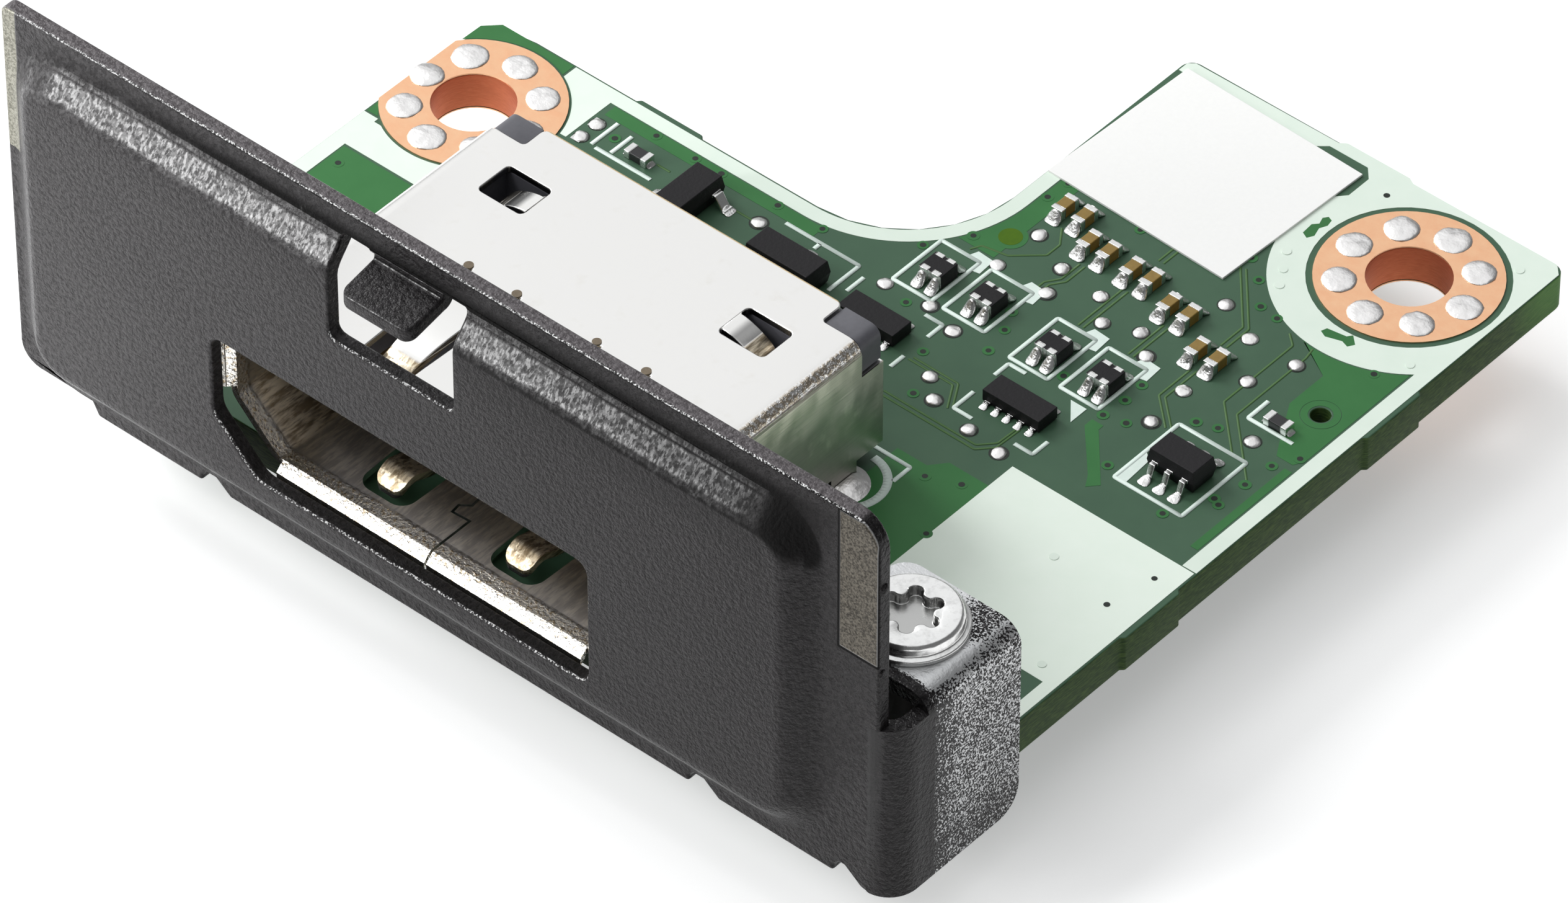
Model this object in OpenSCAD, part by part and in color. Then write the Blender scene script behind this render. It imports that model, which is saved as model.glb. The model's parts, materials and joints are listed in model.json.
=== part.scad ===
// Display connector module: a receptacle on a small circuit board,
// held behind a pressed and folded sheet-metal bracket.
// Origin: middle of the receptacle, in the plane of the plate's back face.
// +X is to the right seen from the front, +Y goes into the module, +Z is up.

/* [Bracket plate] */
// Thickness of the bracket's sheet
sheet_t = 0.6; // [0.5:0.1:0.8]
// Receptacle's middle to the plate's left end
plate_left = 18.25; // [17.5:0.25:22]
// Receptacle's middle to the plate's right end
plate_right = 20.4; // [20:0.2:24]
// Receptacle's middle to the plate's top edge
plate_top = 11.1; // [10.5:0.1:14]
// Receptacle's middle to the plate's feet
plate_foot = 5.55; // [5.3:0.05:6.5]
// Height of the feet below the plate's lower left edge
foot_h = 0.55; // [0.4:0.05:0.6]
// Radius of the plate's upper right corner
plate_corner_r = 1.2; // [0.5:0.1:2]

/* [Raised panel] */
// How far the panel stands in front of the plate
panel_raise = 0.85; // [0.7:0.05:1.1]
// Width of the soft slope round the panel
bevel_w = 1.5; // [1.2:0.1:1.8]
// Flat rim left of the panel
rim_left = 0.35; // [0.3:0.05:0.8]
// Flat rim right of the panel
rim_right = 2.2; // [2:0.1:3]
// Flat rim above the panel
rim_top = 0.95; // [0.8:0.05:1.5]
// Flat rim below the panel, down to the feet
rim_foot = 0.6; // [0.6:0.05:0.8]
// Corner radius at the foot of the slope
panel_r = 2.4; // [2.2:0.1:3]

/* [Front tab and its window] */
// Width of the window in the panel's upper slope
window_w = 5.5; // [5:0.1:6.5]
// Height of that window
window_h = 4.1; // [3.6:0.1:4.2]
// Width of the tab that stands forward from the window
lance_w = 3.1; // [2.8:0.1:4]
// Length of that tab
lance_l = 1.7; // [1.4:0.05:2.4]
// Distance from the window's upper edge down to the tab's fold
lance_low = 0.33; // [0.2:0.01:0.4]
// Droop of that tab in degrees
lance_angle = 12; // [5:1:20]

/* [Flange and top tab] */
// Outer face of the flange, past the plate's right end
flange_out = 0.7; // [0.6:0.05:1]
// Outer radius of the bend between plate and flange
bend_r = 1.2; // [1:0.05:1.5]
// How far the flange reaches behind the plate
flange_depth = 5.75; // [5.5:0.05:7]
// Start of the top tab behind the plate
relief_y = 1.15; // [1:0.05:1.4]
// Height of the flange's front part above the start of the fold
relief_rise = 0.25; // [0.1:0.05:0.4]
// Outer radius of the fold between flange and top tab
fold_r = 0.85; // [0.8:0.05:1.1]
// Top face of the top tab above the board
tab_h = 5.8; // [5:0.1:7]
// Screw's axis to the flange's outer face
screw_in = 2.77; // [2.7:0.05:3.2]
// Clearance hole for the screw in the top tab
tab_hole_r = 1.15; // [1.1:0.05:1.3]

/* [Bracket screw and standoff] */
// Radius of the screw's thread
screw_r = 1.0; // [0.9:0.05:1.05]
// Length of the screw below its head
screw_l = 4.0; // [3:0.25:5]
// Radius of the screw's head
head_r = 1.8; // [1.6:0.05:1.95]
// Height of the screw's head with its lip
head_h = 0.72; // [0.6:0.02:1]
// Radius of the lip under the head
lip_r = 2.0; // [1.95:0.05:2.2]
// Thickness of that lip
lip_t = 0.2; // [0.15:0.05:0.3]
// Depth of the six-lobed recess
recess_d = 0.45; // [0.3:0.05:0.55]
// Outer radius of the standoff
standoff_r = 1.9; // [1.8:0.05:1.9]
// Radius of the standoff's shank in the board
shank_r = 1.5; // [1.4:0.05:1.7]

/* [Receptacle shell] */
// Width inside the shell
socket_w = 16.3; // [16.2:0.05:16.5]
// Height inside the shell
socket_h = 4.9; // [4.8:0.05:5]
// Corner cut at the lower left
socket_cut = 1.8; // [1.6:0.05:2]
// Thickness of the shell's sheet
shell_t = 0.3; // [0.25:0.05:0.35]
// Shell's rear edge behind the plate
shell_rear = 13.6; // [13:0.1:15]
// Shell's front edge ahead of the plate's back face
mouth_y = 0.35; // [0.3:0.05:0.4]
// Reach of the flared lips
flare = 0.35; // [0.25:0.05:0.4]
// Gap between the shell's underside and the board
shell_gap = 0.4; // [0.3:0.05:0.6]
// Clearance between the bracket's opening and the socket
opening_gap = 0.25; // [0.15:0.05:0.3]
// Half the distance between two spring fingers
finger_x = 2.9; // [2.6:0.05:3.2]
// Shift of the floor's fingers away from the cut corner
finger_shift = 0.4; // [0:0.05:0.5]
// Width of a spring finger at its tip
finger_w = 1.2; // [1:0.05:1.3]
// Width of a spring finger at its root
finger_root_w = 1.85; // [1.5:0.05:1.9]
// Slot on each side of a spring finger's tip
finger_slot = 0.5; // [0.4:0.05:0.5]
// How far a finger bulges into the socket
finger_bulge = 0.55; // [0.3:0.05:0.6]
// Distance of the latch windows from the middle
latch_x = 5.4; // [5.2:0.1:5.5]
// Width of a latch window
latch_w = 2.0; // [1.6:0.1:2.2]
// Length of a latch window
latch_l = 1.6; // [1.4:0.1:1.8]
// Width of a shell leg
leg_w = 1.3; // [1.1:0.1:1.5]
// How far a leg reaches below the board
leg_below = 0.4; // [0.3:0.05:0.8]
// Radius of a leg's solder on the board's faces
leg_solder_r = 1.05; // [0.9:0.05:1.2]
// Height of that solder
leg_solder_h = 0.3; // [0.2:0.05:0.35]

/* [Receptacle housing] */
// Length of the solid block at the shell's rear, behind the tongue's wall
block_l = 4.0; // [3.6:0.1:4.4]
// Thickness of the wall that carries the tongue
wall_l = 1.0; // [0.8:0.1:1.4]
// Width of the contact tongue
tongue_w = 13.1; // [12.6:0.1:13.6]
// Thickness of the contact tongue
tongue_t = 1.3; // [1.2:0.1:1.5]
// Tongue's tip behind the plate
tongue_y = 2.1; // [1.8:0.1:2.6]
// Number of contacts in a row
contact_n = 10; // [8:1:12]
// Pitch of the contacts in a row
contact_pitch = 1.0; // [0.9:0.05:1]
// Width of a contact
contact_w = 0.26; // [0.2:0.02:0.3]
// Thickness of a contact
contact_t = 0.2; // [0.15:0.01:0.22]
// Length of the shoulders at the shell's rear corners
shoulder_l = 1.1; // [0.9:0.05:1.3]
// Width of a shoulder on top of the shell
shoulder_w = 1.75; // [1.4:0.05:2]
// Height of a shoulder down the side wall
shoulder_h = 1.55; // [1.2:0.05:1.8]
// How far a shoulder lies below the shell's faces
shoulder_low = 0.12; // [0.05:0.01:0.2]

/* [Board] */
// Thickness of the board
board_t = 1.52; // [1.2:0.02:1.6]
// Gap between the plate and the board's front edge
board_gap = 0.6; // [0.5:0.05:1]
// Gap between the flange and the board's right edge
side_gap = 0.35; // [0.25:0.05:0.6]
// Board's rear edge behind the plate
board_rear = 36.05; // [36:0.25:40]
// Width of the board's long right arm
arm_w = 16.75; // [16.5:0.25:18]
// Plate's left end to the ear's left edge
ear_in = 1.65; // [1.2:0.05:2]
// Ear's rear edge behind the shell's rear edge
ear_back = 8.05; // [7.9:0.05:9]
// Radius of the inside corner
inner_r = 4.8; // [3:0.1:5]
// Radius of the ear's outer corner
ear_r = 2.2; // [1:0.1:2.4]
// Small radius of the arm's corners
arm_r = 0.5; // [0.3:0.1:1]
// Height of the snapped-off tab remains on the edges
stub_h = 0.15; // [0.1:0.01:0.2]
// Length of those remains along the edge
stub_l = 3.2; // [2.4:0.2:3.6]
// Radius of a small tooling hole
tool_hole_r = 0.35; // [0.3:0.05:0.5]

/* [Screw rings] */
// Radius of the screw holes
hole_r = 1.53; // [1.5:0.01:1.6]
// Outer radius of the copper rings
ring_r = 3.33; // [3:0.01:3.4]
// Thickness of the rings on the board's faces
ring_t = 0.05; // [0.04:0.01:0.08]
// Hole's axis to the board's edges
ring_in = 3.85; // [3.7:0.05:4.2]
// Ear hole's axis to the ear's left edge
ear_ring_in = 2.66; // [2.6:0.02:3.2]
// Radius of a solder dot on a ring
dot_r = 0.59; // [0.5:0.01:0.65]
// Radius of the circle of solder dots
dot_circle_r = 2.42; // [2.3:0.01:2.6]
// Number of solder dots on a ring
dot_n = 8; // [6:1:10]
// Radius of a test point's solder dot
test_r = 0.29; // [0.2:0.01:0.35]

/* [Small parts] */
// Length, width and height of a chip capacitor
cap_l = 0.95; // [0.9:0.05:1.1]
cap_w = 0.5; // [0.4:0.05:0.55]
cap_h = 0.48; // [0.3:0.02:0.55]
// Spacing of the two capacitors of a pair
cap_pitch = 0.87; // [0.8:0.01:1]
// Length and width of a two-line choke
choke_l = 1.0; // [0.9:0.05:1.1]
choke_w = 1.0; // [0.9:0.05:1.1]
choke_h = 0.6; // [0.5:0.05:0.7]
// Length and width of a protection array
array_l = 2.5; // [2.4:0.05:2.7]
array_w = 1.0; // [0.9:0.05:1.2]
array_h = 0.55; // [0.45:0.05:0.7]
// Width of the white label
label_w = 8.1; // [6:0.1:8.2]
// Height of the white label
label_h = 7.3; // [5:0.1:7.4]
// Turn of the label in degrees
label_turn = -2.2; // [-4:0.2:2]
// Thickness of the label
label_t = 0.1; // [0.08:0.02:0.2]

/* [Host connector under the board] */
// Length of the host connector
host_l = 10.6; // [9:0.2:12]
// Distance of the host connector's middle from the board's right edge
host_in = 9.75; // [8:0.25:11]
// Distance of its middle behind the receptacle's shell
host_back = 12.4; // [11:0.2:14]
// Width of the host connector
host_w = 4.6; // [4:0.1:5.4]
// Height of the host connector below the board
host_h = 3.0; // [2.4:0.1:4]
// Number of contacts on each side of the host connector
host_n = 18; // [12:1:20]
// Pitch of those contacts
host_pitch = 0.5; // [0.4:0.05:0.5]

/* [Hidden] */
$fn = 48;
eps = 0.01;
// Steps of a quarter arc in an outline
arc_steps = 6;
// Levels of the soft slope round the panel
slope_steps = 8;

// Planes and edges that several pieces share
board_top = -(socket_h / 2 + shell_t + shell_gap);
board_low = board_top - board_t;
flange_x = plate_right + flange_out;
bend_x = flange_x - bend_r;
tab_top = board_top + tab_h;
relief_z = tab_top - fold_r;
relief_top = relief_z + relief_rise;
screw_x = flange_x - screw_in;
screw_y = (relief_y + flange_depth) / 2;
board_right = flange_x - sheet_t - side_gap;
arm_left = board_right - arm_w;
ear_left = -plate_left + ear_in;
ear_rear = shell_rear + ear_back;
panel_left = -plate_left + rim_left;
panel_right = plate_right - rim_right;
panel_top = plate_top - rim_top;
panel_low = -plate_foot + rim_foot;
window_top = panel_top - 0.1;
window_low = window_top - window_h;
shell_x = socket_w / 2 + shell_t;
shell_z = socket_h / 2 + shell_t;
wall_y = shell_rear - block_l;
tongue_root = wall_y - wall_l;
latch_y = wall_y + 0.2;
rear_leg_y = wall_y + 1.35;
front_leg_y = 2.6;
rear_ring = [board_right - ring_in, board_rear - ring_in];
ear_ring = [ear_left + ear_ring_in, ear_rear - ring_in];
host_mid = [board_right - host_in, shell_rear + host_back];
// Shift of the bracket's opening against the receptacle
opening_shift = [0.13, -0.05];
// Middle of the front tab
lance_x = 0.1;
// Middles of the notches between the plate's feet
foot_notches = [-plate_left + 8.95, plate_right - 7.7, bend_x - 0.9];

// Places of the small parts: [distance left of the board's right edge, distance behind the shell]
cap_pair_places = [[14.9, 13.4], [13.1, 12.55], [11.1, 12.45], [9.0, 11.9], [6.85, 10.8]];
choke_places = [[16.05, 8.0], [13.8, 8.0], [10.55, 7.6], [8.25, 7.6]];
array_places = [[16.15, 4.75], [9.65, 4.75]];
six_lead_place = [3.55, 5.95];
three_lead_places = [[24.9, 4.85], [20.1, 4.75]];
resistor_places = [[27.8, 5.8], [2.5, 9.85]];
tool_hole_place = [1.8, 11.25];
test_places = [
    [14.8, 11.9], [14.9, 9.8], [12.7, 9.8], [13.1, 11.1], [11.2, 10.9], [10.3, 9.9], [9.0, 10.4],
    [8.1, 9.6], [7.7, 13.4], [6.0, 12.6], [3.95, 12.6], [4.7, 10.9], [6.05, 9.1], [5.9, 7.2],
    [17.2, 6.55], [15.3, 6.7], [13.9, 6.25], [13.0, 4.0], [12.15, 3.2], [10.3, 2.85], [8.8, 2.65],
    [22.5, 6.05], [2.7, 8.7], [30.1, 6.2], [30.1, 5.35]];

// Points of an arc round [x, y] from angle a to angle b, in n steps
function arc(x, y, r, a, b, n = arc_steps) =
    [for (i = [0:n]) [x + r * cos(a + (b - a) * i / n), y + r * sin(a + (b - a) * i / n)]];

// Corner points of a rectangle with round corners
function round_rect(x0, y0, x1, y1, r) = concat(
    arc(x1 - r, y1 - r, r, 0, 90), arc(x0 + r, y1 - r, r, 90, 180),
    arc(x0 + r, y0 + r, r, 180, 270), arc(x1 - r, y0 + r, r, 270, 360));

// Smooth step from 0 to 1
function ease(s) = s * s * (3 - 2 * s);

// Closed solid through rings with the same number of points, counterclockwise seen from the last one
module loft(rings) {
    n = len(rings[0]);
    m = len(rings);
    sides = [for (j = [0:m - 2], i = [0:n - 1])
        each [[j * n + i, (j + 1) * n + (i + 1) % n, j * n + (i + 1) % n],
              [j * n + i, (j + 1) * n + i, (j + 1) * n + (i + 1) % n]]];
    ends = [[for (i = [0:n - 1]) i], [for (i = [n - 1:-1:0]) (m - 1) * n + i]];
    polyhedron(points = [for (r = rings) each r], faces = concat(sides, ends), convexity = 4);
}

// Extrudes a plan drawn in X and Z towards -Y, from y_back to y_front
module upright(y_back, y_front) {
    translate([0, y_back, 0]) rotate([90, 0, 0]) linear_extrude(y_back - y_front) children();
}

// Extrudes a profile drawn in Y and Z along X, from x0 to x1
module along_x(x0, x1) {
    translate([x0, 0, 0]) rotate([90, 0, 90]) linear_extrude(x1 - x0) children();
}

// Puts a small part on the board, from its place in the lists above
module on_board(place) {
    translate([board_right - place[0], shell_rear + place[1], board_top]) children();
}

// Bracket

// Outline of the pressed panel at one level of its slope
function panel_ring(inset, y) = [for (p = round_rect(panel_left + inset, panel_low + inset,
    panel_right - inset, panel_top - inset, panel_r - min(inset, panel_r - 0.3))) [p[0], y, p[1]]];

// Outside of the pressing, from the plate's back face to the panel's face
module pressing() {
    loft(concat([panel_ring(0, 0)], [for (k = [0:slope_steps])
        panel_ring(bevel_w * k / slope_steps, -sheet_t - panel_raise * ease(k / slope_steps))]));
}

// Hollow behind the pressing, which leaves the sheet's thickness
module pressing_hollow() {
    hollow_in = sheet_t * 0.42;
    loft(concat([panel_ring(hollow_in, 0.5)], [for (k = [0:slope_steps])
        panel_ring(hollow_in + bevel_w * k / slope_steps, -panel_raise * ease(k / slope_steps))]));
}

module plate_outline() {
    low_left = -plate_foot + foot_h;
    low_r = 0.9;
    top_r = 0.35;
    feet_start = -plate_left + 3.3;
    polygon(concat(
        arc(-plate_left + low_r, low_left + low_r, low_r, 180, 270),
        [[feet_start, low_left], [feet_start + 0.3, -plate_foot], [bend_x, -plate_foot],
         [bend_x, relief_top], [plate_right, relief_top]],
        arc(plate_right - plate_corner_r, plate_top - plate_corner_r, plate_corner_r, 0, 90),
        arc(-plate_left + top_r, plate_top - top_r, top_r, 90, 180)));
}

// Notch between two feet
module foot_notch(x) {
    polygon([[x - 0.5, -plate_foot - 1], [x - 0.5, -plate_foot + 0.3], [x - 0.25, -plate_foot + foot_h],
             [x + 0.1, -plate_foot + foot_h], [x + 0.8, -plate_foot], [x + 0.8, -plate_foot - 1]]);
}

// Outline of the socket, grown by g, with its corner cut at the lower left
module socket_outline(g) {
    w = socket_w / 2 + g;
    h = socket_h / 2 + g;
    r = 0.25 + g;
    cut_r = 0.5 + g;
    cut_end = socket_cut + g * (2 - sqrt(2)) + cut_r * (sqrt(2) - 1);
    polygon(concat(
        arc(-w + cut_r, -h + cut_end, cut_r, 180, 225, 3), arc(-w + cut_end, -h + cut_r, cut_r, 225, 270, 3),
        arc(w - r, -h + r, r, -90, 0), arc(w - r, h - r, r, 0, 90), arc(-w + r, h - r, r, 90, 180)));
}

// Tab that was lanced out of the window and stands forward
module front_tab() {
    z = window_top - lance_low;
    low = z - sheet_t;
    run = lance_l * cos(lance_angle);
    drop = lance_l * sin(lance_angle);
    outer_r = 0.5;
    translate([lance_x, 0, 0]) intersection() {
        along_x(-lance_w / 2, lance_w / 2) polygon(concat(
            [[0, window_top + 0.1], [-sheet_t, window_top + 0.1], [-sheet_t, z],
             [-sheet_t - run, z - drop], [-sheet_t - run, low - drop]],
            arc(-outer_r, low + outer_r, outer_r, 270, 360)));
        translate([0, 0, low - lance_l]) linear_extrude(2 * lance_l + 1)
            polygon(round_rect(-lance_w / 2, -sheet_t - run, lance_w / 2, 1, 0.4));
    }
}

module flange() {
    corner_r = 1.0;
    // bend at the plate's right end
    translate([bend_x, bend_r - sheet_t, -plate_foot]) rotate([0, 0, -90]) rotate_extrude(angle = 90)
        translate([bend_r - sheet_t, 0]) square([sheet_t, plate_foot + relief_top]);
    // flat side
    along_x(flange_x - sheet_t, flange_x) polygon(concat(
        [[bend_r - sheet_t, -plate_foot]],
        arc(flange_depth - corner_r, -plate_foot + corner_r, corner_r, -90, 0),
        [[flange_depth, relief_z], [relief_y, relief_z], [relief_y, relief_top], [bend_r - sheet_t, relief_top]]));
    // fold at the top
    translate([flange_x - fold_r, flange_depth, relief_z]) rotate([90, 0, 0])
        rotate_extrude(angle = 90) translate([fold_r - sheet_t, 0])
            square([sheet_t, flange_depth - relief_y]);
}

// Flat tab over the board that the screw goes through
module top_tab() {
    tab_left = screw_x - 2.3;
    translate([0, 0, tab_top - sheet_t]) linear_extrude(sheet_t) difference() {
        polygon(concat(
            [[flange_x - fold_r, relief_y], [flange_x - fold_r, flange_depth]],
            arc(tab_left + 0.8, flange_depth - 0.8, 0.8, 90, 180),
            arc(tab_left + 0.8, relief_y + 0.8, 0.8, 180, 270)));
        translate([screw_x, screw_y]) circle(r = tab_hole_r);
    }
}

module bracket() {
    color([0.13, 0.13, 0.14]) {
        difference() {
            union() {
                upright(0, -sheet_t) difference() {
                    plate_outline();
                    for (x = foot_notches) foot_notch(x);
                }
                pressing();
            }
            pressing_hollow();
            upright(1, -3) translate(opening_shift) socket_outline(opening_gap);
            upright(1, -3) polygon(round_rect(-window_w / 2, window_low, window_w / 2, window_top, 0.3));
        }
        front_tab();
        flange();
        top_tab();
    }
}

// Screw and standoff

// Six-lobed star for the screw's recess
module lobed_star() {
    lobe_r = 0.26;
    difference() {
        union() {
            circle(r = 0.86);
            for (a = [0:60:300]) rotate(a) translate([0.86, 0]) circle(r = lobe_r);
        }
        for (a = [30:60:330]) rotate(a) translate([0.98, 0]) circle(r = 0.24);
    }
}

module bracket_screw() {
    color("silver") translate([screw_x, screw_y, tab_top]) difference() {
        rotate_extrude() polygon([[0, -screw_l], [screw_r - 0.25, -screw_l], [screw_r, -screw_l + 0.25],
            [screw_r, 0], [lip_r, 0], [lip_r, lip_t], [head_r, lip_t + 0.05], [head_r, head_h - 0.15],
            [head_r - 0.12, head_h - 0.03], [0, head_h]]);
        translate([0, 0, head_h - recess_d]) linear_extrude(1) lobed_star();
    }
}

module standoff() {
    thread_gap = 0.02;
    color("lightgray") translate([screw_x, screw_y, 0]) difference() {
        union() {
            translate([0, 0, board_top]) cylinder(r = standoff_r, h = tab_top - sheet_t - board_top);
            translate([0, 0, board_low]) cylinder(r = shank_r, h = board_t + eps);
        }
        translate([0, 0, board_low - 1]) cylinder(r = screw_r + thread_gap, h = tab_top - board_low + 1);
    }
}

// Board

module board_outline() {
    polygon(concat(
        [[ear_left, board_gap], [board_right, board_gap]],
        arc(board_right - arm_r, board_rear - arm_r, arm_r, 0, 90),
        arc(arm_left + arm_r, board_rear - arm_r, arm_r, 90, 180),
        arc(arm_left - inner_r, ear_rear + inner_r, inner_r, 0, -90),
        arc(ear_left + ear_r, ear_rear - ear_r, ear_r, 90, 180)));
    // remains of the tabs that held the board in its panel
    edge_stub([board_right - arm_w / 2, board_rear], 90);
    edge_stub([ear_left + arm_w / 2, ear_rear], 90);
    edge_stub([board_right, shell_rear], 0);
    edge_stub([board_right, (shell_rear + board_rear) / 2 + 1.6], 0);
}

// Low stub on an edge whose outward direction is given
module edge_stub(place, direction) {
    slope = 0.2;
    translate(place) rotate(direction) polygon([[-0.3, -stub_l / 2 - slope], [stub_h, -stub_l / 2 + slope],
        [stub_h, stub_l / 2 - slope], [-0.3, stub_l / 2 + slope]]);
}

function leg_places() = [for (s = [-1, 1], y = [front_leg_y, rear_leg_y])
    [s * (socket_w + shell_t) / 2, y + leg_w / 2]];
leg_hole_r = leg_w / 2 + 0.15;

module board() {
    color([0.1, 0.36, 0.2]) translate([0, 0, board_low]) linear_extrude(board_t) difference() {
        board_outline();
        for (p = [rear_ring, ear_ring]) translate(p) circle(r = hole_r);
        for (p = leg_places()) translate(p) circle(r = leg_hole_r);
        translate([screw_x, screw_y]) circle(r = shank_r);
        translate([board_right - tool_hole_place[0], shell_rear + tool_hole_place[1]]) circle(r = tool_hole_r);
    }
}

// Copper rings of a screw hole on the board's two faces, cut off at the board's edge
module screw_ring(place) {
    color([0.9, 0.6, 0.45]) for (z = [board_low - ring_t, board_top]) translate([0, 0, z])
        linear_extrude(ring_t) intersection() {
            difference() {
                translate(place) circle(r = ring_r);
                translate(place) circle(r = hole_r);
            }
            translate([ear_left, 0]) square([board_right - ear_left, board_rear]);
        }
}

// Low dome of solder of radius r and height h
module solder_dome(r, h) {
    rise = [for (i = [0:3]) [r * cos(30 * i), h * sin(30 * i)]];
    rotate_extrude($fn = 24) polygon(concat([[0, 0]], rise));
}

module ring_solder_dots() {
    color("whitesmoke") for (place = [rear_ring, ear_ring], i = [0:dot_n - 1]) {
        x = place[0] + dot_circle_r * cos(360 * i / dot_n);
        y = place[1] + dot_circle_r * sin(360 * i / dot_n);
        if (x - dot_r > ear_left) translate([x, y, board_top + ring_t]) solder_dome(dot_r, 0.14);
    }
}

module test_point_dots() {
    color("whitesmoke") for (p = test_places) on_board(p) solder_dome(test_r, 0.13);
}

module label() {
    mid = [arm_left + label_w / 2 + 0.2, board_rear - label_h / 2 - 0.7, board_top];
    color("white") translate(mid) rotate(label_turn) translate([-label_w / 2, -label_h / 2, 0])
        cube([label_w, label_h, label_t]);
}

// Receptacle shell

// Bulge of a spring finger at distance y behind the plate
finger_tip = 0.8;
finger_root = 6.7;
finger_touch = 1.6;
function finger_drop(y) = y > finger_touch
    ? finger_bulge * pow((finger_root - y) / (finger_root - finger_touch), 4)
    : finger_bulge * (1 - 0.75 * pow((finger_touch - y) / (finger_touch - finger_tip), 2));
finger_line = concat([for (i = [0:10]) finger_root - (finger_root - finger_touch) * i / 10],
    [for (i = [1:4]) finger_touch - (finger_touch - finger_tip) * i / 4]);

// Plan of a strip that widens from its round front at y0 to its rear at y1
module finger_plan(y0, y1, front_w, rear_w, r) {
    polygon(concat(arc(-front_w / 2 + r, y0 + r, r, 180, 270), arc(front_w / 2 - r, y0 + r, r, 270, 360),
        [[rear_w / 2, y1], [-rear_w / 2, y1]]));
}

// Window round a spring finger
module finger_window() {
    root_slot = 0.7 * finger_slot;
    finger_plan(finger_tip - 0.35, finger_root, finger_w + 2 * finger_slot, finger_root_w + 2 * root_slot, 0.6);
}

// Spring finger of the shell's top
module spring_finger() {
    root = finger_root + 0.1;
    inner = [for (y = finger_line) [y, socket_h / 2 - finger_drop(y)]];
    outer = [for (i = [len(finger_line) - 1:-1:0]) inner[i] + [0, shell_t]];
    intersection() {
        along_x(-finger_root_w, finger_root_w) polygon(concat([[root, socket_h / 2]], inner, outer,
            [[root, socket_h / 2 + shell_t]]));
        linear_extrude(shell_z + 1) finger_plan(finger_tip, root, finger_w, finger_root_w, 0.35);
    }
}

// Tongue of a latch window, curved down into the housing's pocket
module latch_tongue() {
    bend = 2.2;
    turn = 50;
    root = -latch_w / 2 - 0.1;
    upright(latch_y + latch_l - 0.4, latch_y + 0.2) polygon(concat(
        arc(root, shell_z - bend, bend, 90, 90 - turn), arc(root, shell_z - bend, bend - shell_t, 90 - turn, 90)));
}

// Open corner of the shell for a shoulder, drawn in plan for the right side
module shoulder_cut() {
    x = shell_x - shoulder_w;
    y = shell_rear - shoulder_l;
    inner_r = 0.15;
    outer_r = 0.3;
    polygon(concat(arc(x + inner_r, y + inner_r, inner_r, 180, 270, 3),
        [[shell_x + 1, y], [shell_x + 1, shell_rear + 1], [x - outer_r, shell_rear + 1]],
        arc(x - outer_r, shell_rear - outer_r, outer_r, 90, 0)));
}

// Lip that flares outwards from the front edge, drawn for the top edge
module flared_lip(x0, x1) {
    along_x(x0, x1) polygon([[-mouth_y + eps, shell_z - shell_t], [-mouth_y + eps, shell_z],
        [-mouth_y - flare, shell_z + flare], [-mouth_y - flare, shell_z + flare - shell_t]]);
}

// Thin slot from point a to point b
module seam_step(a, b) {
    d = b - a;
    translate(a) rotate(atan2(d[1], d[0])) translate([0, -seam_w / 2]) square([norm(d) + seam_w / 2, seam_w]);
}
seam_w = 0.1;
seam_x = 0.6;
seam_line = [[seam_x, -1.2], [seam_x, 1.54], [-0.15, 1.5], [-0.2, 1.87], [0.15, 2.15], [0.12, 2.5],
    [0.12, shell_rear]];

module shell_leg(y, side) {
    translate([side > 0 ? shell_x - shell_t : -shell_x, y, board_low - leg_below])
        cube([shell_t, leg_w, -socket_h / 2 + socket_cut + shell_t - board_low + leg_below]);
}

module connector_shell() {
    color("gainsboro") {
        difference() {
            union() {
                // closed section round the socket
                upright(wall_y, -mouth_y) difference() {
                    socket_outline(shell_t);
                    socket_outline(0);
                }
                // open section over the housing's block
                upright(shell_rear, wall_y) difference() {
                    hood_outline(shell_t);
                    hood_outline(0);
                }
            }
            for (s = [-1, 1]) {
                // windows of the spring fingers, in the top and in the floor
                translate([s * finger_x, 0, 0]) linear_extrude(shell_z + 1) finger_window();
                translate([finger_shift + s * finger_x, 0, -shell_z - 1]) linear_extrude(shell_z + 1) finger_window();
                // latch windows
                translate([s * latch_x, latch_y, 0]) linear_extrude(shell_z + 1)
                    polygon(round_rect(-latch_w / 2, 0, latch_w / 2, latch_l, 0.2));
            }
            // corners left open for the housing's shoulders
            translate([0, 0, shell_z - shoulder_h]) linear_extrude(shoulder_h + 1) {
                shoulder_cut();
                mirror([1, 0]) shoulder_cut();
            }
            // seam with its dovetail
            translate([0, 0, -shell_z - 1]) linear_extrude(shell_t + 1.05)
                for (i = [0:len(seam_line) - 2]) seam_step(seam_line[i], seam_line[i + 1]);
        }
        for (s = [-1, 1]) {
            translate([s * finger_x, 0, 0]) spring_finger();
            translate([finger_shift + s * finger_x, 0, 0]) mirror([0, 0, 1]) spring_finger();
            for (y = [front_leg_y, rear_leg_y]) shell_leg(y, s);
        }
        translate([latch_x, 0, 0]) latch_tongue();
        mirror([1, 0, 0]) translate([latch_x, 0, 0]) latch_tongue();
        flared_lip(-socket_w / 2 + 0.6, socket_w / 2 - 0.6);
        rotate([0, 180, 0]) difference() {
            flared_lip(-socket_w / 2 + 0.6, socket_w / 2 - socket_cut - 0.2);
            translate([-seam_x - seam_w / 2, -mouth_y - flare - 1, 0]) cube([seam_w, flare + 1 + 2 * eps, shell_z + 1]);
        }
        side_lip(-1.8, 1.8);
        mirror([1, 0, 0]) side_lip(-0.3, 1.8);
    }
}

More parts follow.
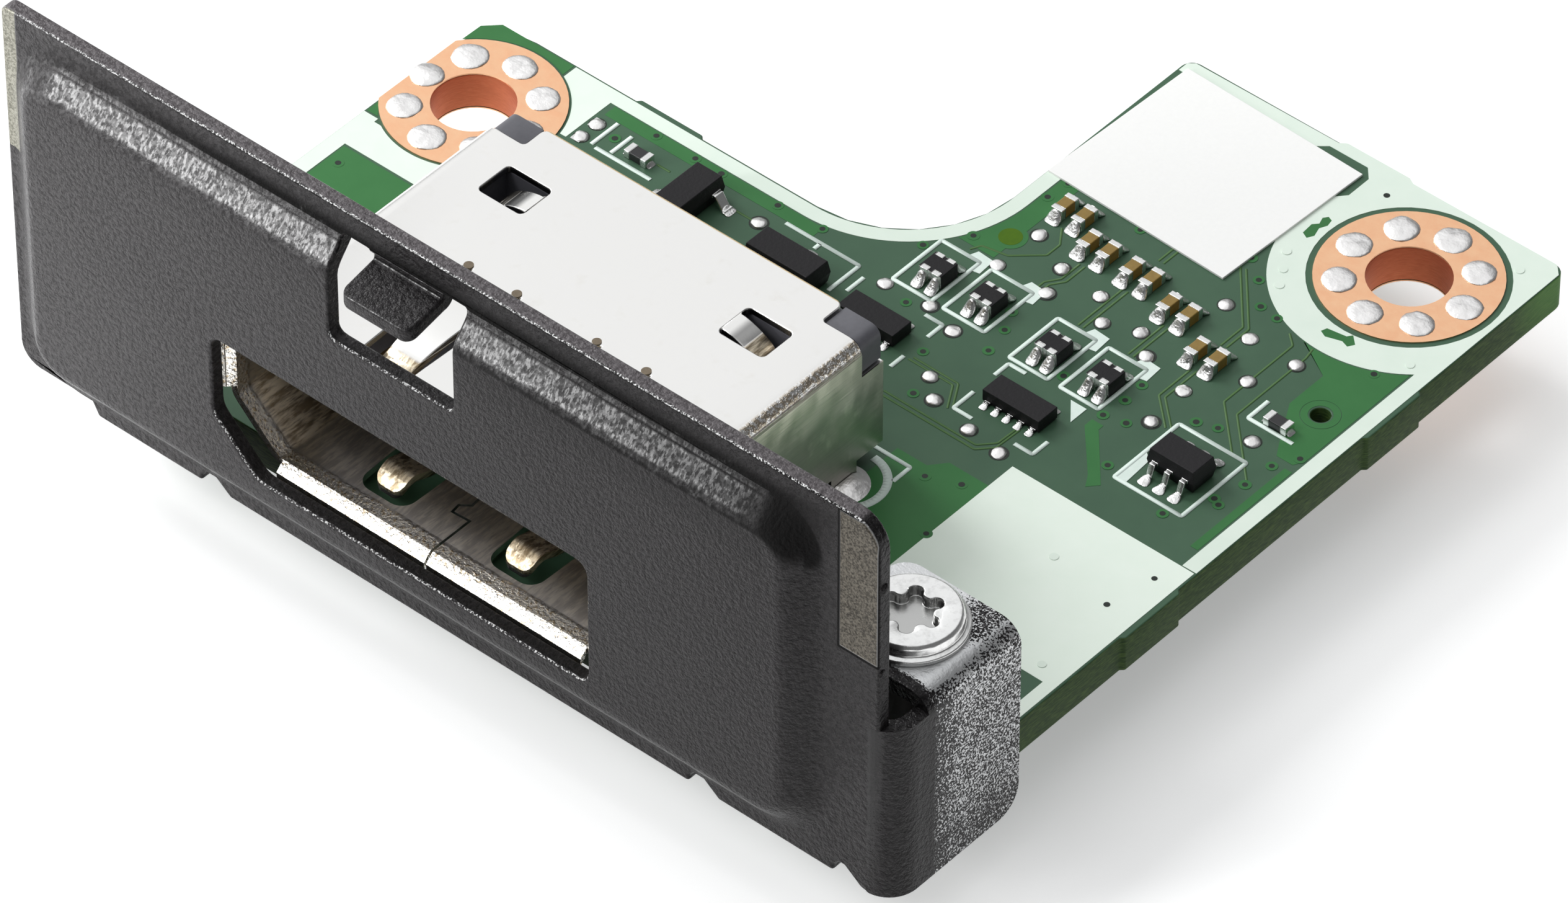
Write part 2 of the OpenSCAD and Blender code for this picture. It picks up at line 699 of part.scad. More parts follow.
// Flared lip of the right wall, from height z0 to z1
module side_lip(z0, z1) {
    translate([0, 0, z0]) linear_extrude(z1 - z0) polygon([[shell_x - shell_t, -mouth_y + eps],
        [shell_x, -mouth_y + eps], [shell_x + flare, -mouth_y - flare],
        [shell_x + flare - shell_t, -mouth_y - flare]]);
}

// Top and side walls of the shell's rear part, grown by g
module hood_outline(g) {
    w = socket_w / 2 + g;
    h = socket_h / 2 + g;
    r = 0.25 + g;
    low = -socket_h / 2;
    polygon(concat([[w, low], [w, h - r]], arc(w - r, h - r, r, 0, 90), arc(-w + r, h - r, r, 90, 180),
        [[-w, low]]));
}

// Solder round each leg, in its hole and as a fillet on both faces
module shell_leg_solder() {
    slot_gap = 0.02;
    solder_tip = 0.45;
    color("silver") for (p = leg_places()) difference() {
        translate([p[0], p[1], 0]) union() {
            translate([0, 0, board_low]) cylinder(r = leg_hole_r, h = board_t);
            translate([0, 0, board_top]) cylinder(r1 = leg_solder_r, r2 = solder_tip, h = leg_solder_h);
            translate([0, 0, board_low - leg_solder_h]) cylinder(r1 = solder_tip, r2 = leg_solder_r, h = leg_solder_h);
        }
        translate([p[0] - shell_t / 2 - slot_gap, p[1] - leg_w / 2 - slot_gap, board_low - 1])
            cube([shell_t + 2 * slot_gap, leg_w + 2 * slot_gap, board_t + 2]);
    }
}

// Receptacle housing

// Profile of one contact: along the tongue, through the block and down to its foot on the board
module contact_profile(z) {
    foot_l = 1.1;
    polygon([[tongue_y + 0.5, z], [shell_rear, z], [shell_rear, board_top], [shell_rear + foot_l, board_top],
        [shell_rear + foot_l, board_top + contact_t], [shell_rear + contact_t, board_top + contact_t],
        [shell_rear + contact_t, z + contact_t], [tongue_y + 0.5, z + contact_t]]);
}

module contact_row(z, shift) {
    for (i = [0:contact_n - 1]) {
        x = (i - (contact_n - 1) / 2) * contact_pitch + shift;
        along_x(x - contact_w / 2, x + contact_w / 2) contact_profile(z);
    }
}
contact_proud = 0.05;

module upper_contacts() {
    color("gold") contact_row(tongue_t / 2 + contact_proud - contact_t, -contact_pitch / 4);
}

module lower_contacts() {
    color("gold") contact_row(-tongue_t / 2 - contact_proud, contact_pitch / 4);
}

module connector_housing() {
    pocket_d = 1.35;
    foot_in = 1.5;
    tip = 0.3;
    shoulder_gap = 0.08;
    color([0.25, 0.25, 0.27]) difference() {
        union() {
            // tongue with a bevelled tip
            along_x(-tongue_w / 2, tongue_w / 2) polygon([[tongue_y + tip, -tongue_t / 2],
                [tongue_root + eps, -tongue_t / 2], [tongue_root + eps, tongue_t / 2],
                [tongue_y + tip, tongue_t / 2], [tongue_y, tongue_t / 2 - tip], [tongue_y, tip - tongue_t / 2]]);
            upright(wall_y + eps, tongue_root) socket_outline(0);
            // block down to the board
            upright(shell_rear, wall_y) hood_outline(0);
            translate([-socket_w / 2 + foot_in, wall_y, board_top])
                cube([socket_w - 2 * foot_in, block_l, -socket_h / 2 - board_top + eps]);
            // shoulders in the shell's open corners, a little below its faces
            intersection() {
                upright(shell_rear, shell_rear - shoulder_l + shoulder_gap) hood_outline(shell_t - shoulder_low);
                for (s = [-1, 1]) translate([s > 0 ? shell_x - shoulder_w + shoulder_gap : -shell_x - shoulder_gap,
                    wall_y, shell_z - shoulder_h + shoulder_gap]) cube([shoulder_w, block_l + 1, shoulder_h]);
            }
        }
        for (s = [-1, 1]) translate([s * latch_x - latch_w / 2 - 0.15, latch_y, socket_h / 2 - pocket_d])
            cube([latch_w + 0.3, latch_l, 5]);
        upper_contacts();
        lower_contacts();
    }
}

// Small parts on the board

// Chip with plated ends along Y
module chip(l, w, h, end_l, tint) {
    plating = 0.02;
    color(tint) translate([-w / 2 + plating, -l / 2 + plating, 0]) cube([w - 2 * plating, l - 2 * plating, h - plating]);
    color("silver") for (s = [0, 1]) translate([-w / 2, s > 0 ? l / 2 - end_l : -l / 2, 0]) cube([w, end_l, h]);
}

// Capacitor number i, two of them at each place
module capacitor(i) {
    place = cap_pair_places[floor(i / 2)] - [cap_pitch * (i % 2), 0];
    on_board(place) chip(cap_l, cap_w, cap_h, 0.22, [0.6, 0.5, 0.35]);
}

module choke(i) {
    line_w = 0.32;
    on_board(choke_places[i]) {
        color([0.1, 0.1, 0.1]) translate([-choke_w / 2, -choke_l / 2 + 0.04, 0])
            cube([choke_w, choke_l - 0.08, choke_h]);
        color("silver") for (sx = [-1, 1], sy = [-1, 1])
            translate([sx * choke_w / 4 - line_w / 2, sy > 0 ? choke_l / 2 - 0.2 : -choke_l / 2, 0])
                cube([line_w, 0.2, choke_h + 0.02]);
    }
}

module protection_array(i) {
    n = 5;
    pitch = 0.5;
    on_board(array_places[i]) {
        color([0.1, 0.1, 0.1]) translate([-array_l / 2, -array_w / 2, 0.05]) cube([array_l, array_w, array_h - 0.05]);
        color("silver") for (k = [0:n - 1]) translate([(k - (n - 1) / 2) * pitch - 0.12, -array_w / 2 - 0.15, 0])
            cube([0.24, array_w + 0.3, 0.12]);
    }
}

// Bent lead that leaves the body at height z and ends reach away from the middle
module bent_lead(w, start, reach, z) {
    t = 0.12;
    run = 0.22;
    along_x(-w / 2, w / 2) polygon([[start, z], [start, z + t], [start + run, z + t], [reach - run + 0.07, t],
        [reach, t], [reach, 0], [reach - run, 0], [start + run - 0.07, z]]);
}

// Moulded body with sloping sides
module moulded_body(l, w, h) {
    lift = 0.05;
    draft = 0.08;
    loft([for (k = [0:2]) let (d = [draft, 0, draft][k], z = [lift, lift + h * 0.45, h][k])
        [[-l / 2 + d, -w / 2 + d, z], [l / 2 - d, -w / 2 + d, z],
         [l / 2 - d, w / 2 - d, z], [-l / 2 + d, w / 2 - d, z]]]);
}

module six_lead_package() {
    pitch = 0.65;
    on_board(six_lead_place) {
        color([0.1, 0.1, 0.1]) moulded_body(2.05, 1.25, 0.95);
        color("silver") for (s = [0, 180], k = [-1:1]) rotate(s) translate([k * pitch, 0, 0])
            bent_lead(0.25, 0.56, 1.1, 0.42);
    }
}

module three_lead_package(i, turn) {
    pitch = 1.9;
    lead_w = 0.42;
    lead_out = 0.6;
    body_w = 1.3;
    on_board(three_lead_places[i]) rotate(turn) {
        color([0.1, 0.1, 0.1]) moulded_body(2.9, body_w, 1.0);
        color("silver") {
            bent_lead(lead_w, body_w / 2 - 0.07, body_w / 2 + lead_out, 0.45);
            for (s = [-1, 1]) translate([s * pitch / 2, 0, 0]) rotate(180)
                bent_lead(lead_w, body_w / 2 - 0.07, body_w / 2 + lead_out, 0.45);
        }
    }
}

module resistor(i) {
    on_board(resistor_places[i]) rotate(90) chip(1.0, 0.5, 0.35, 0.24, [0.12, 0.12, 0.12]);
}

// Host connector under the board

module host_connector() {
    wall = 0.7;
    island_w = 1.0;
    cavity_d = 2.2;
    color([0.12, 0.12, 0.12]) translate([host_mid[0], host_mid[1], board_low - host_h]) difference() {
        linear_extrude(host_h) polygon(round_rect(-host_w / 2, -host_l / 2, host_w / 2, host_l / 2, 0.3));
        translate([0, 0, -eps]) linear_extrude(cavity_d + eps) difference() {
            square([host_w - 2 * wall, host_l - 2 * wall], center = true);
            square([island_w, host_l - 4 * wall], center = true);
        }
        host_contact_set();
    }
}

// Contact strips in the side walls, each with a foot on the board
module host_contact_set() {
    strip = 0.15;
    strip_w = 0.2;
    strip_in = 0.35;
    strip_low = 1.6;
    foot_l = 0.7;
    down = host_h - strip_low;
    for (s = [0, 180], i = [0:host_n - 1]) rotate(s)
        translate([host_w / 2 - strip_in, (i - (host_n - 1) / 2) * host_pitch - strip_w / 2, host_h - strip]) {
            translate([0, 0, -down]) cube([strip, strip_w, down + strip]);
            cube([foot_l + strip_in - strip, strip_w, strip]);
        }
}

module host_contacts() {
    color("gold") translate([host_mid[0], host_mid[1], board_low - host_h]) host_contact_set();
}

bracket();
bracket_screw();
standoff();
board();
screw_ring(rear_ring);  // rear_screw_ring
screw_ring(ear_ring);  // ear_screw_ring
ring_solder_dots();
test_point_dots();
connector_shell();
shell_leg_solder();
connector_housing();
upper_contacts();
lower_contacts();
label();
capacitor(0);  // capacitor_1
capacitor(1);  // capacitor_2
capacitor(2);  // capacitor_3
capacitor(3);  // capacitor_4
capacitor(4);  // capacitor_5
capacitor(5);  // capacitor_6
capacitor(6);  // capacitor_7
capacitor(7);  // capacitor_8
capacitor(8);  // capacitor_9
capacitor(9);  // capacitor_10
choke(0);  // choke_1
choke(1);  // choke_2
choke(2);  // choke_3
choke(3);  // choke_4
protection_array(0);  // protection_array_1
protection_array(1);  // protection_array_2
six_lead_package();
three_lead_package(0, 90);  // three_lead_package_1
three_lead_package(1, 0);  // three_lead_package_2
resistor(0);  // ear_resistor
resistor(1);  // arm_resistor
host_connector();
host_contacts();
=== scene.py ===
"""A display connector module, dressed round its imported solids.

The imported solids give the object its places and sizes. This script gives them their finishes, rounds their
edges, and adds the fine detail: solder at the chips, copper under the mask, vias, printed lines, weld marks
on the shell and drops of paint on the bracket. Places that no solid gives are in millimetres, in one frame
with the solids.
"""

import json
import math
import random

import bmesh
import bpy
from mathutils import Matrix, Vector
from mathutils.bvhtree import BVHTree


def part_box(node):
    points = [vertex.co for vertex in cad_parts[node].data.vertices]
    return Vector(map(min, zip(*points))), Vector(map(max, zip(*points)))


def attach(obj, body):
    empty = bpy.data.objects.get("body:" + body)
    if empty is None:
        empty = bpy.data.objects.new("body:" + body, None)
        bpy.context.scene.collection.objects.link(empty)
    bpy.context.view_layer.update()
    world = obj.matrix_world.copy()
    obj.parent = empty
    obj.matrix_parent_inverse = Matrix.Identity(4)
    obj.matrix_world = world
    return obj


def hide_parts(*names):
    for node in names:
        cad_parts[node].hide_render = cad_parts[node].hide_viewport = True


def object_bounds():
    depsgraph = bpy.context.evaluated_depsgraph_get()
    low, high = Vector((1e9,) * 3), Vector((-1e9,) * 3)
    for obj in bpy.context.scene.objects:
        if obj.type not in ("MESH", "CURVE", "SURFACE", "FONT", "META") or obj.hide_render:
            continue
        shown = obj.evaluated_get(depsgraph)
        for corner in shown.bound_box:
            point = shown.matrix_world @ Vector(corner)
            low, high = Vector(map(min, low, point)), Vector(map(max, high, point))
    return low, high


MM = 0.001
PHOTO_WIDTH = 2529

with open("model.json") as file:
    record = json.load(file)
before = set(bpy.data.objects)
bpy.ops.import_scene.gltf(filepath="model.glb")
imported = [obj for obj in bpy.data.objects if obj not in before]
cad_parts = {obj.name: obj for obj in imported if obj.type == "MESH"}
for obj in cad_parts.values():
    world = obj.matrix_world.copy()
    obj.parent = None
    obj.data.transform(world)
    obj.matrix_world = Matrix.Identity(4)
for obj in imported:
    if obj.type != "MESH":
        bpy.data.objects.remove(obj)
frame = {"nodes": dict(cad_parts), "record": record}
cad_box = [list(corner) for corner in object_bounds()]
nodes = frame["nodes"]

# The board's top, and the three axes by number
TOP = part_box("board")[1].z
X, Y, Z = range(3)

# The screw holes of the board, in millimetres
BORES = [mount for mount in frame["record"]["mounts"] if mount["kind"] == "bore"]
HOLES = {bore["name"]: (bore["pos_m"][X] / MM, bore["pos_m"][Y] / MM) for bore in BORES}
HOLE_R = BORES[0]["dims"]["r_mm"]
REAR_HOLE = HOLES["screw_hole_rear"] + (0.0,)
EAR_HOLE = HOLES["screw_hole_ear"] + (0.0,)

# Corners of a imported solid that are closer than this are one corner
MERGE = 0.0008 * MM

# Share of a rounding by which a point may lie off its solid
SLACK = 0.4


# Shader sums

class Value:
    """A shader socket that takes part in sums: each operator adds the Math node it stands for."""

    def __init__(self, finish, socket):
        self.finish = finish
        self.socket = socket

    def math(self, operation, *others):
        return self.finish.add("Math", {"operation": operation}, dict(enumerate((self,) + others)))

    def __add__(self, other):
        return self.math("ADD", other)

    def __sub__(self, other):
        return self.math("SUBTRACT", other)

    def __mul__(self, other):
        return self.math("MULTIPLY", other)

    def __rsub__(self, other):
        return (self * -1.0) + other

    __radd__ = __add__
    __rmul__ = __mul__

    def rises(self, start, end):
        """0 below start, 1 above end, and smooth between them."""
        return self.finish.add(
            "MapRange", {"interpolation_type": "SMOOTHSTEP"}, {0: self, 1: start, 2: end, 3: 0.0, 4: 1.0}
        )

    def falls(self, start, end):
        return 1.0 - self.rises(start, end)

    def within(self, low, high, soft):
        """1 between low and high, with soft edges."""
        return self.rises(low - soft, low + soft) * self.falls(high - soft, high + soft)

    def most(self, other):
        return self.math("MAXIMUM", other)

    def least(self, other):
        return self.math("MINIMUM", other)

    def size(self):
        return self.math("ABSOLUTE")


class Graph:
    """A node tree, and the one way in which nodes are added to it."""

    prefix = "ShaderNode"

    def __init__(self, tree):
        self.tree = tree

    def feed(self, socket, value):
        if isinstance(value, Value):
            self.tree.links.new(value.socket, socket)
        elif hasattr(value, "__len__") and len(socket.default_value) > len(value):
            socket.default_value = tuple(value) + (1.0,)
        else:
            socket.default_value = value

    def add(self, kind, settings=None, inputs=None, output=0):
        """Adds a node of a kind. Its settings come first, then the values or links of its sockets."""
        if "Node" not in kind:
            shared = kind in ("Math", "MapRange", "TexNoise", "VectorMath", "CombineXYZ")
            kind = ("ShaderNode" if shared else self.prefix) + kind
        made = self.tree.nodes.new(kind)
        for key, value in (settings or {}).items():
            setattr(made, key, value)
        for key, value in (inputs or {}).items():
            self.feed(made.inputs[key], value)
        return Value(self, made.outputs[output]) if made.outputs else None


class Finish(Graph):
    """One material: a Principled shader and the nodes that feed it."""

    def __init__(self, name, color, roughness, metallic=0.0, **fixed):
        self.material = bpy.data.materials.new(name)
        self.material.use_nodes = True
        super().__init__(self.material.node_tree)
        self.shader = self.tree.nodes["Principled BSDF"]
        self.set("Base Color", color)
        self.set("Roughness", roughness)
        self.set("Metallic", metallic)
        for key, value in fixed.items():
            self.set(key.replace("_", " "), value)

    def set(self, name, value):
        self.feed(self.shader.inputs[name], value)

    def place(self):
        """Object coordinates in millimetres."""
        here = self.add("TexCoord", output=3)
        return self.add("VectorMath", {"operation": "SCALE"}, {0: here, 3: 1.0 / MM})

    def axes(self, place):
        split = self.add("SeparateXYZ", inputs={0: place})
        return [Value(self, part) for part in split.socket.node.outputs]

    def facing(self):
        """The surface's normal, as three numbers."""
        normal = self.add("TexCoord", output=1)
        return self.axes(normal)

    def stretched(self, place, x, y, z):
        return self.add("VectorMath", {"operation": "MULTIPLY"}, {0: place, 1: (x, y, z)})

    def distance(self, place, point):
        return self.add("VectorMath", {"operation": "DISTANCE"}, {0: place, 1: point}, output=1)

    def noise(self, place, scale, detail=2.0, roughness=0.5):
        return self.add(
            "TexNoise", inputs={"Vector": place, "Scale": scale, "Detail": detail, "Roughness": roughness}
        )

    def mix(self, share, first, second):
        return self.add(
            "Mix", {"data_type": "RGBA", "clamp_factor": True}, {0: share, 6: first, 7: second}, output=2
        )

    def blend(self, share, first, second):
        """A number that goes from first to second as share goes from 0 to 1."""
        return self.add("MapRange", inputs={0: share, 1: 0.0, 2: 1.0, 3: first, 4: second})

    def bump(self, height, depth, normal=None, strength=1.0):
        """Feeds Normal from a height, where a height of 1 stands depth metres up."""
        inputs = {"Height": height, "Distance": depth, "Strength": strength}
        if normal:
            inputs["Normal"] = normal
        return self.add("Bump", inputs=inputs)


def rgb(red, green, blue):
    """A colour as it is seen, 0 to 255, turned to the linear values that shaders take."""
    def linear(part):
        part /= 255.0
        return part / 12.92 if part <= 0.04045 else ((part + 0.055) / 1.055) ** 2.4

    return (linear(red), linear(green), linear(blue))


# Finishes

# Places on the bracket seen from the front, with boxes as left, right, low and high
PLATE_FRONT = -0.6
LEFT_PATCH_SIDE = -17.58
LEFT_PATCH_FOOT = 4.91
RIGHT_PATCH = (18.74, 20.32, 4.99, 10.95)
RIGHT_PATCH_LINE = (18.64, 20.42, 4.86, 11.05)
SOCKET_OPENING = (-8.75, 8.95, -2.95, 2.8)
PANEL_HOLES = (-16.0, 16.3, -3.3, 8.1)


def in_box(across, up, sides, soft):
    """1 inside an upright box, with soft edges."""
    left, right, low, high = sides
    return across.within(left, right, soft) * up.within(low, high, soft)


def bracket_finish():
    """Textured black paint over steel: bare at two patches, and thin over the flange and its top tab."""
    f = Finish("textured_black_paint", rgb(40, 38, 40), 0.3, Specular_IOR_Level=0.16, Coat_Roughness=0.24)
    place = f.place()
    x, y, z = f.axes(place)
    _, facing_y, facing_z = f.facing()
    grain = f.noise(place, 5.5, 2.0, 0.6)
    coarse = f.noise(place, 2.0, 2.0, 0.5)
    fine = f.noise(place, 14.0, 2.0, 0.6)
    cloudy = f.noise(place, 0.35, 2.0)
    front = y.falls(PLATE_FRONT + 0.02, PLATE_FRONT + 0.1)

    # patches masked off before painting, the right one with a thin dark line round it
    left_side = x.falls(LEFT_PATCH_SIDE - 0.03, LEFT_PATCH_SIDE + 0.03)
    left_patch = left_side * z.rises(LEFT_PATCH_FOOT - 0.03, LEFT_PATCH_FOOT + 0.03) * front
    right_patch = in_box(x, z, RIGHT_PATCH, 0.03) * front
    bare = left_patch.most(right_patch)
    line = in_box(x, z, RIGHT_PATCH_LINE, 0.03) * front * (1.0 - right_patch)

    # paint that fades to specks on the flange, and is nearly gone on the top tab
    side = x.rises(20.3, 20.6) * y.rises(1.2, 3.0)
    tab = z.rises(2.4, 2.6) * x.within(15.1, 20.9, 0.1) * y.rises(1.5, 1.8)
    rear_corner = f.distance(place, (20.3, 5.4, 2.6)).falls(0.7, 2.3)
    specks = f.noise(place, 12.5, 2.0, 0.7)
    on_side = side * 0.085 - side * z.falls(-5.0, 2.0) * 0.035
    on_tab = tab * 0.32 - tab * rear_corner * 0.27
    thin = on_side + on_tab + (cloudy - 0.5) * 0.12
    worn_through = (specks + thin).rises(0.58, 0.61)
    metal = bare.most(worn_through * side.most(tab).rises(0.02, 0.1))

    # painted shade, near black, where the light hardly reaches or the glossy paint mirrors dark surroundings:
    # the walls of the opening, the bends along the panel's top, the right part of its top slope and a spot at
    # the slope's right end
    painted_shade_on_walls = in_box(x, z, SOCKET_OPENING, 0.04) * y.within(-1.34, -0.5, 0.03)
    on_panel = z.rises(7.2, 7.6) * y.falls(PLATE_FRONT, PLATE_FRONT + 0.08)
    painted_shade_under_bend = on_panel * facing_z.within(0.12, 0.36, 0.08) * x.rises(-8.0, 10.0)
    painted_shade_over_bend = on_panel * facing_z.within(0.06, 0.4, 0.05) * y.rises(-1.0, -0.9) * x.rises(-20.0, -6.0)
    painted_shade_at_corner = on_panel * x.rises(15.2, 16.2) * facing_z.within(0.16, 0.86, 0.1)
    painted_light_on_plate_top = z.rises(11.0, 11.06) * facing_z.rises(0.8, 0.9)
    ragged = facing_z + (grain - 0.5) * 0.6 + (coarse - 0.5) * 0.7
    slope = on_panel * ragged.rises(0.2, 0.52) * facing_z.falls(0.66, 0.74) * (1.0 - painted_shade_at_corner)
    painted_shade_on_slope = slope * x.rises(2.0, 12.0) * 0.75
    black = line.most(painted_shade_on_walls * 0.45).most(painted_shade_under_bend * 0.8).most(painted_shade_over_bend).most(painted_shade_at_corner).most(painted_shade_on_slope)

    # grains that glint along the two bends of the panel's top slope
    streak = f.noise(f.stretched(place, 1.0, 0.45, 0.45), 9.0, 2.0, 0.6)
    glint = slope * (y.falls(-0.84, -0.74) + y.rises(-0.74, -0.7)) * x.falls(14.2, 16.2)
    f.set("Coat Weight", glint * (0.1 + grain.rises(0.4, 0.62) * 0.25 + streak.rises(0.48, 0.6) * 0.6))

    # painted highlights: white dots along the plate's upper edge and the rims of the holes, where their
    # rounded edges face up to the light
    upper_edge = z.rises(10.86, 10.9) * facing_z.within(0.3, 0.85, 0.05) * facing_y.falls(-0.4, -0.2)
    inner = in_box(x, z, PANEL_HOLES, 0.1) * y.falls(-1.36, -1.3)
    rim = inner * facing_y.within(-0.88, -0.3, 0.06) * facing_z.rises(0.1, 0.3)
    dots = upper_edge.most(rim) * fine.rises(0.5, 0.6) * (1.0 - bare)

    # painted shade and light: the paint darker towards the right, darker in the grain's hollows and lighter
    # on its ridges, with some tone that differs at random
    across = x.rises(-18.0, 6.0)
    clouded = fine.rises(0.3, 0.7)
    light = cloudy * 0.2 + grain.rises(0.42, 0.58) * 0.6 + clouded * 0.2
    painted_shade_in_hollows = f.mix(across, rgb(38, 36, 37), rgb(18, 16, 17))
    painted_light_on_ridges = f.mix(across, rgb(72, 70, 71), rgb(40, 38, 39))
    paint = f.mix(light, painted_shade_in_hollows, painted_light_on_ridges)
    # painted light: the plate's top face, which faces up, lighter than the front
    paint = f.mix(painted_light_on_plate_top, paint, f.mix(light, rgb(70, 66, 68), rgb(104, 100, 102)))
    # painted shade in near black, together with the paint's own dark line round the right patch
    paint = f.mix(black, paint, rgb(5, 4, 4))
    # painted highlights, as white dots on the rounded edges
    paint = f.mix(dots, paint, rgb(214, 214, 214))
    steel = f.mix(bare, rgb(214, 215, 216), f.mix(clouded, rgb(48, 45, 40), rgb(106, 101, 92)))
    steel = f.mix(left_patch, steel, f.mix(clouded, rgb(112, 111, 100), rgb(172, 170, 158)))
    f.set("Base Color", f.mix(metal, paint, steel))
    f.set("Metallic", metal * 0.85)
    painted = f.blend(fine, 0.2, 0.3)
    f.set("Roughness", f.blend(black, f.blend(metal, painted, 0.38), 0.8))
    height = (grain * 0.7 + coarse * 0.2 + fine * 0.25) * (1.0 - metal * 0.75) + (1.0 - metal) * 0.35
    f.set("Normal", f.bump(height, 0.1 * MM))
    return f.material


def steel_finish(name, color, roughness, streak, scale, depth):
    """Plated or bare sheet with fine streaks along one direction."""
    f = Finish(name, color, roughness, 1.0)
    place = f.place()
    lines = f.noise(f.stretched(place, *streak), scale, 3.0, 0.6)
    marks = f.noise(place, 1.2, 3.0, 0.6)
    dark = tuple(part * 0.82 for part in color)
    f.set("Base Color", f.mix(marks.rises(0.45, 0.75), color, dark))
    f.set("Roughness", f.blend(marks, roughness * 0.8, roughness * 1.25))
    f.set("Normal", f.bump(lines * 0.7 + marks * 0.3, depth * MM, strength=0.6))
    return f.material


def screw_finish():
    """Bright plated steel, with painted shade down in the star-shaped recess and painted light and shade on
    its walls by the way they face.
    """
    f = Finish("bright_zinc", (0.8, 0.8, 0.79), 0.24, 1.0)
    place = f.place()
    facing_x, _, facing_z = f.facing()
    low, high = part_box("bracket_screw")
    middle = (low + high) / 2 / MM
    head_top = high.z / MM
    marks = f.noise(place, 4.0, 3.0, 0.6)
    from_axis = f.distance(f.stretched(place, 1.0, 1.0, 0.0), (middle.x, middle.y, 0.0))
    # painted shade down in the recess, and painted light or shade on its walls by the way they face
    recess_painted_darker = f.axes(place)[Z].falls(head_top - 0.2, head_top - 0.04) * from_axis.falls(1.2, 1.25)
    walls = recess_painted_darker * facing_z.falls(0.5, 0.8)
    painted_light_by_facing = f.mix(facing_x.rises(-0.2, 0.4), (0.16, 0.16, 0.16), (0.8, 0.8, 0.79))
    color = f.mix(marks.rises(0.45, 0.75), (0.85, 0.85, 0.84), (0.7, 0.7, 0.69))
    color = f.mix(walls, f.mix(recess_painted_darker, color, (0.5, 0.5, 0.49)), painted_light_by_facing)
    f.set("Base Color", color)
    f.set("Roughness", f.blend(marks, 0.2, 0.32))
    f.set("Normal", f.bump(marks, 0.008 * MM, strength=0.6))
    return f.material


SOCKET_HALF_W = 8.15
SOCKET_HALF_H = 2.45


def shell_finish():
    """Bright plated sheet, browned inside the socket with painted glints and painted shade in streaks there,
    with a crinkled bend, painted shade on the latch fingers in the top windows and a brassy cut rear edge.
    """
    f = Finish("plated_shell", (0.86, 0.85, 0.82), 0.26, 1.0)
    place = f.place()
    x, y, z = f.axes(place)
    facing_x, facing_y, facing_z = f.facing()
    in_width = x.size().falls(SOCKET_HALF_W - 0.02, SOCKET_HALF_W + 0.02)
    in_height = z.size().falls(SOCKET_HALF_H - 0.02, SOCKET_HALF_H + 0.02)
    inside = in_width * in_height * y.rises(-0.3, 0.6)
    bend = facing_x.within(0.3, 0.95, 0.08) * facing_z.within(0.3, 0.95, 0.08)
    bend = bend * z.rises(2.2, 2.3) * x.rises(7.7, 7.8)
    side = x.size().rises(8.4, 8.44)
    rear = (facing_y.rises(0.6, 0.9) * y.rises(13.4, 13.5)).most(y.rises(13.51, 13.55) * z.rises(2.5, 2.6))
    grain = f.noise(place, 6.5, 2.0, 0.65)
    streaks = f.noise(f.stretched(place, 0.4, 3.0, 3.0), 3.0, 3.0, 0.6)
    marks = f.noise(place, 1.1, 3.0, 0.6)
    waves = f.noise(f.stretched(place, 1.0, 0.9, 0.6), 0.9, 1.0, 0.5)
    runs = f.noise(f.stretched(place, 2.0, 0.25, 2.0), 1.2, 3.0, 0.6)
    brushed = f.noise(f.stretched(place, 1.0, 0.16, 6.0), 2.5, 3.0, 0.65)
    lip = y.falls(0.1, 0.3)
    painted_shade_in_windows = x.size().within(3.8, 6.8, 0.1) * y.within(9.2, 13.0, 0.1) * z.within(0.5, 2.68, 0.04)

    color = f.mix(marks.rises(0.55, 0.85), (0.88, 0.87, 0.85), (0.84, 0.825, 0.79))
    low = z.falls(0.2, 2.3)
    warm = f.mix(runs, (0.9, 0.83, 0.72), (0.78, 0.73, 0.64))
    color = f.mix(side, color, f.mix(low, warm, (0.52, 0.5, 0.45)))
    color = f.mix(side * low * marks.rises(0.52, 0.72) * 0.5, color, (0.85, 0.8, 0.72))
    color = f.mix(side * brushed.rises(0.42, 0.66) * 0.25, color, (0.36, 0.35, 0.32))
    # inside the socket: brown, with painted glints and painted shade along the streaks
    streaks_with_painted_glints = runs * 0.5 + f.noise(f.stretched(place, 3.0, 0.5, 3.0), 2.4, 3.0, 0.65) * 0.5
    color = f.mix(inside, color, f.mix(streaks_with_painted_glints.rises(0.42, 0.58), (1.0, 0.88, 0.68), (0.36, 0.28, 0.18)))
    color = f.mix(lip, color, f.mix(grain.rises(0.5, 0.66), (0.97, 0.94, 0.88), (0.62, 0.5, 0.34)))
    # painted shade on the latch fingers down in the top windows, deepest in the left one
    color = f.mix(painted_shade_in_windows * (x.falls(4.6, 5.6) * 0.75 + 0.15), color, (0.12, 0.12, 0.12))
    color = f.mix(bend * grain.rises(0.42, 0.55), color, (0.52, 0.45, 0.36))
    color = f.mix(rear, color, (0.72, 0.55, 0.3))
    f.set("Base Color", color)
    f.set("Roughness", f.blend(inside.most(side), f.blend(marks, 0.2, 0.3), 0.34))
    shallow = f.bump(streaks * 0.6 + marks * 0.4, 0.005 * MM, strength=0.6)
    crinkled = f.bump(grain * (bend + lip * 0.8) + streaks_with_painted_glints * inside * 0.6, 0.06 * MM, shallow)
    f.set("Normal", f.bump((waves + brushed * 0.06) * side, 0.11 * MM, crinkled))
    return f.material


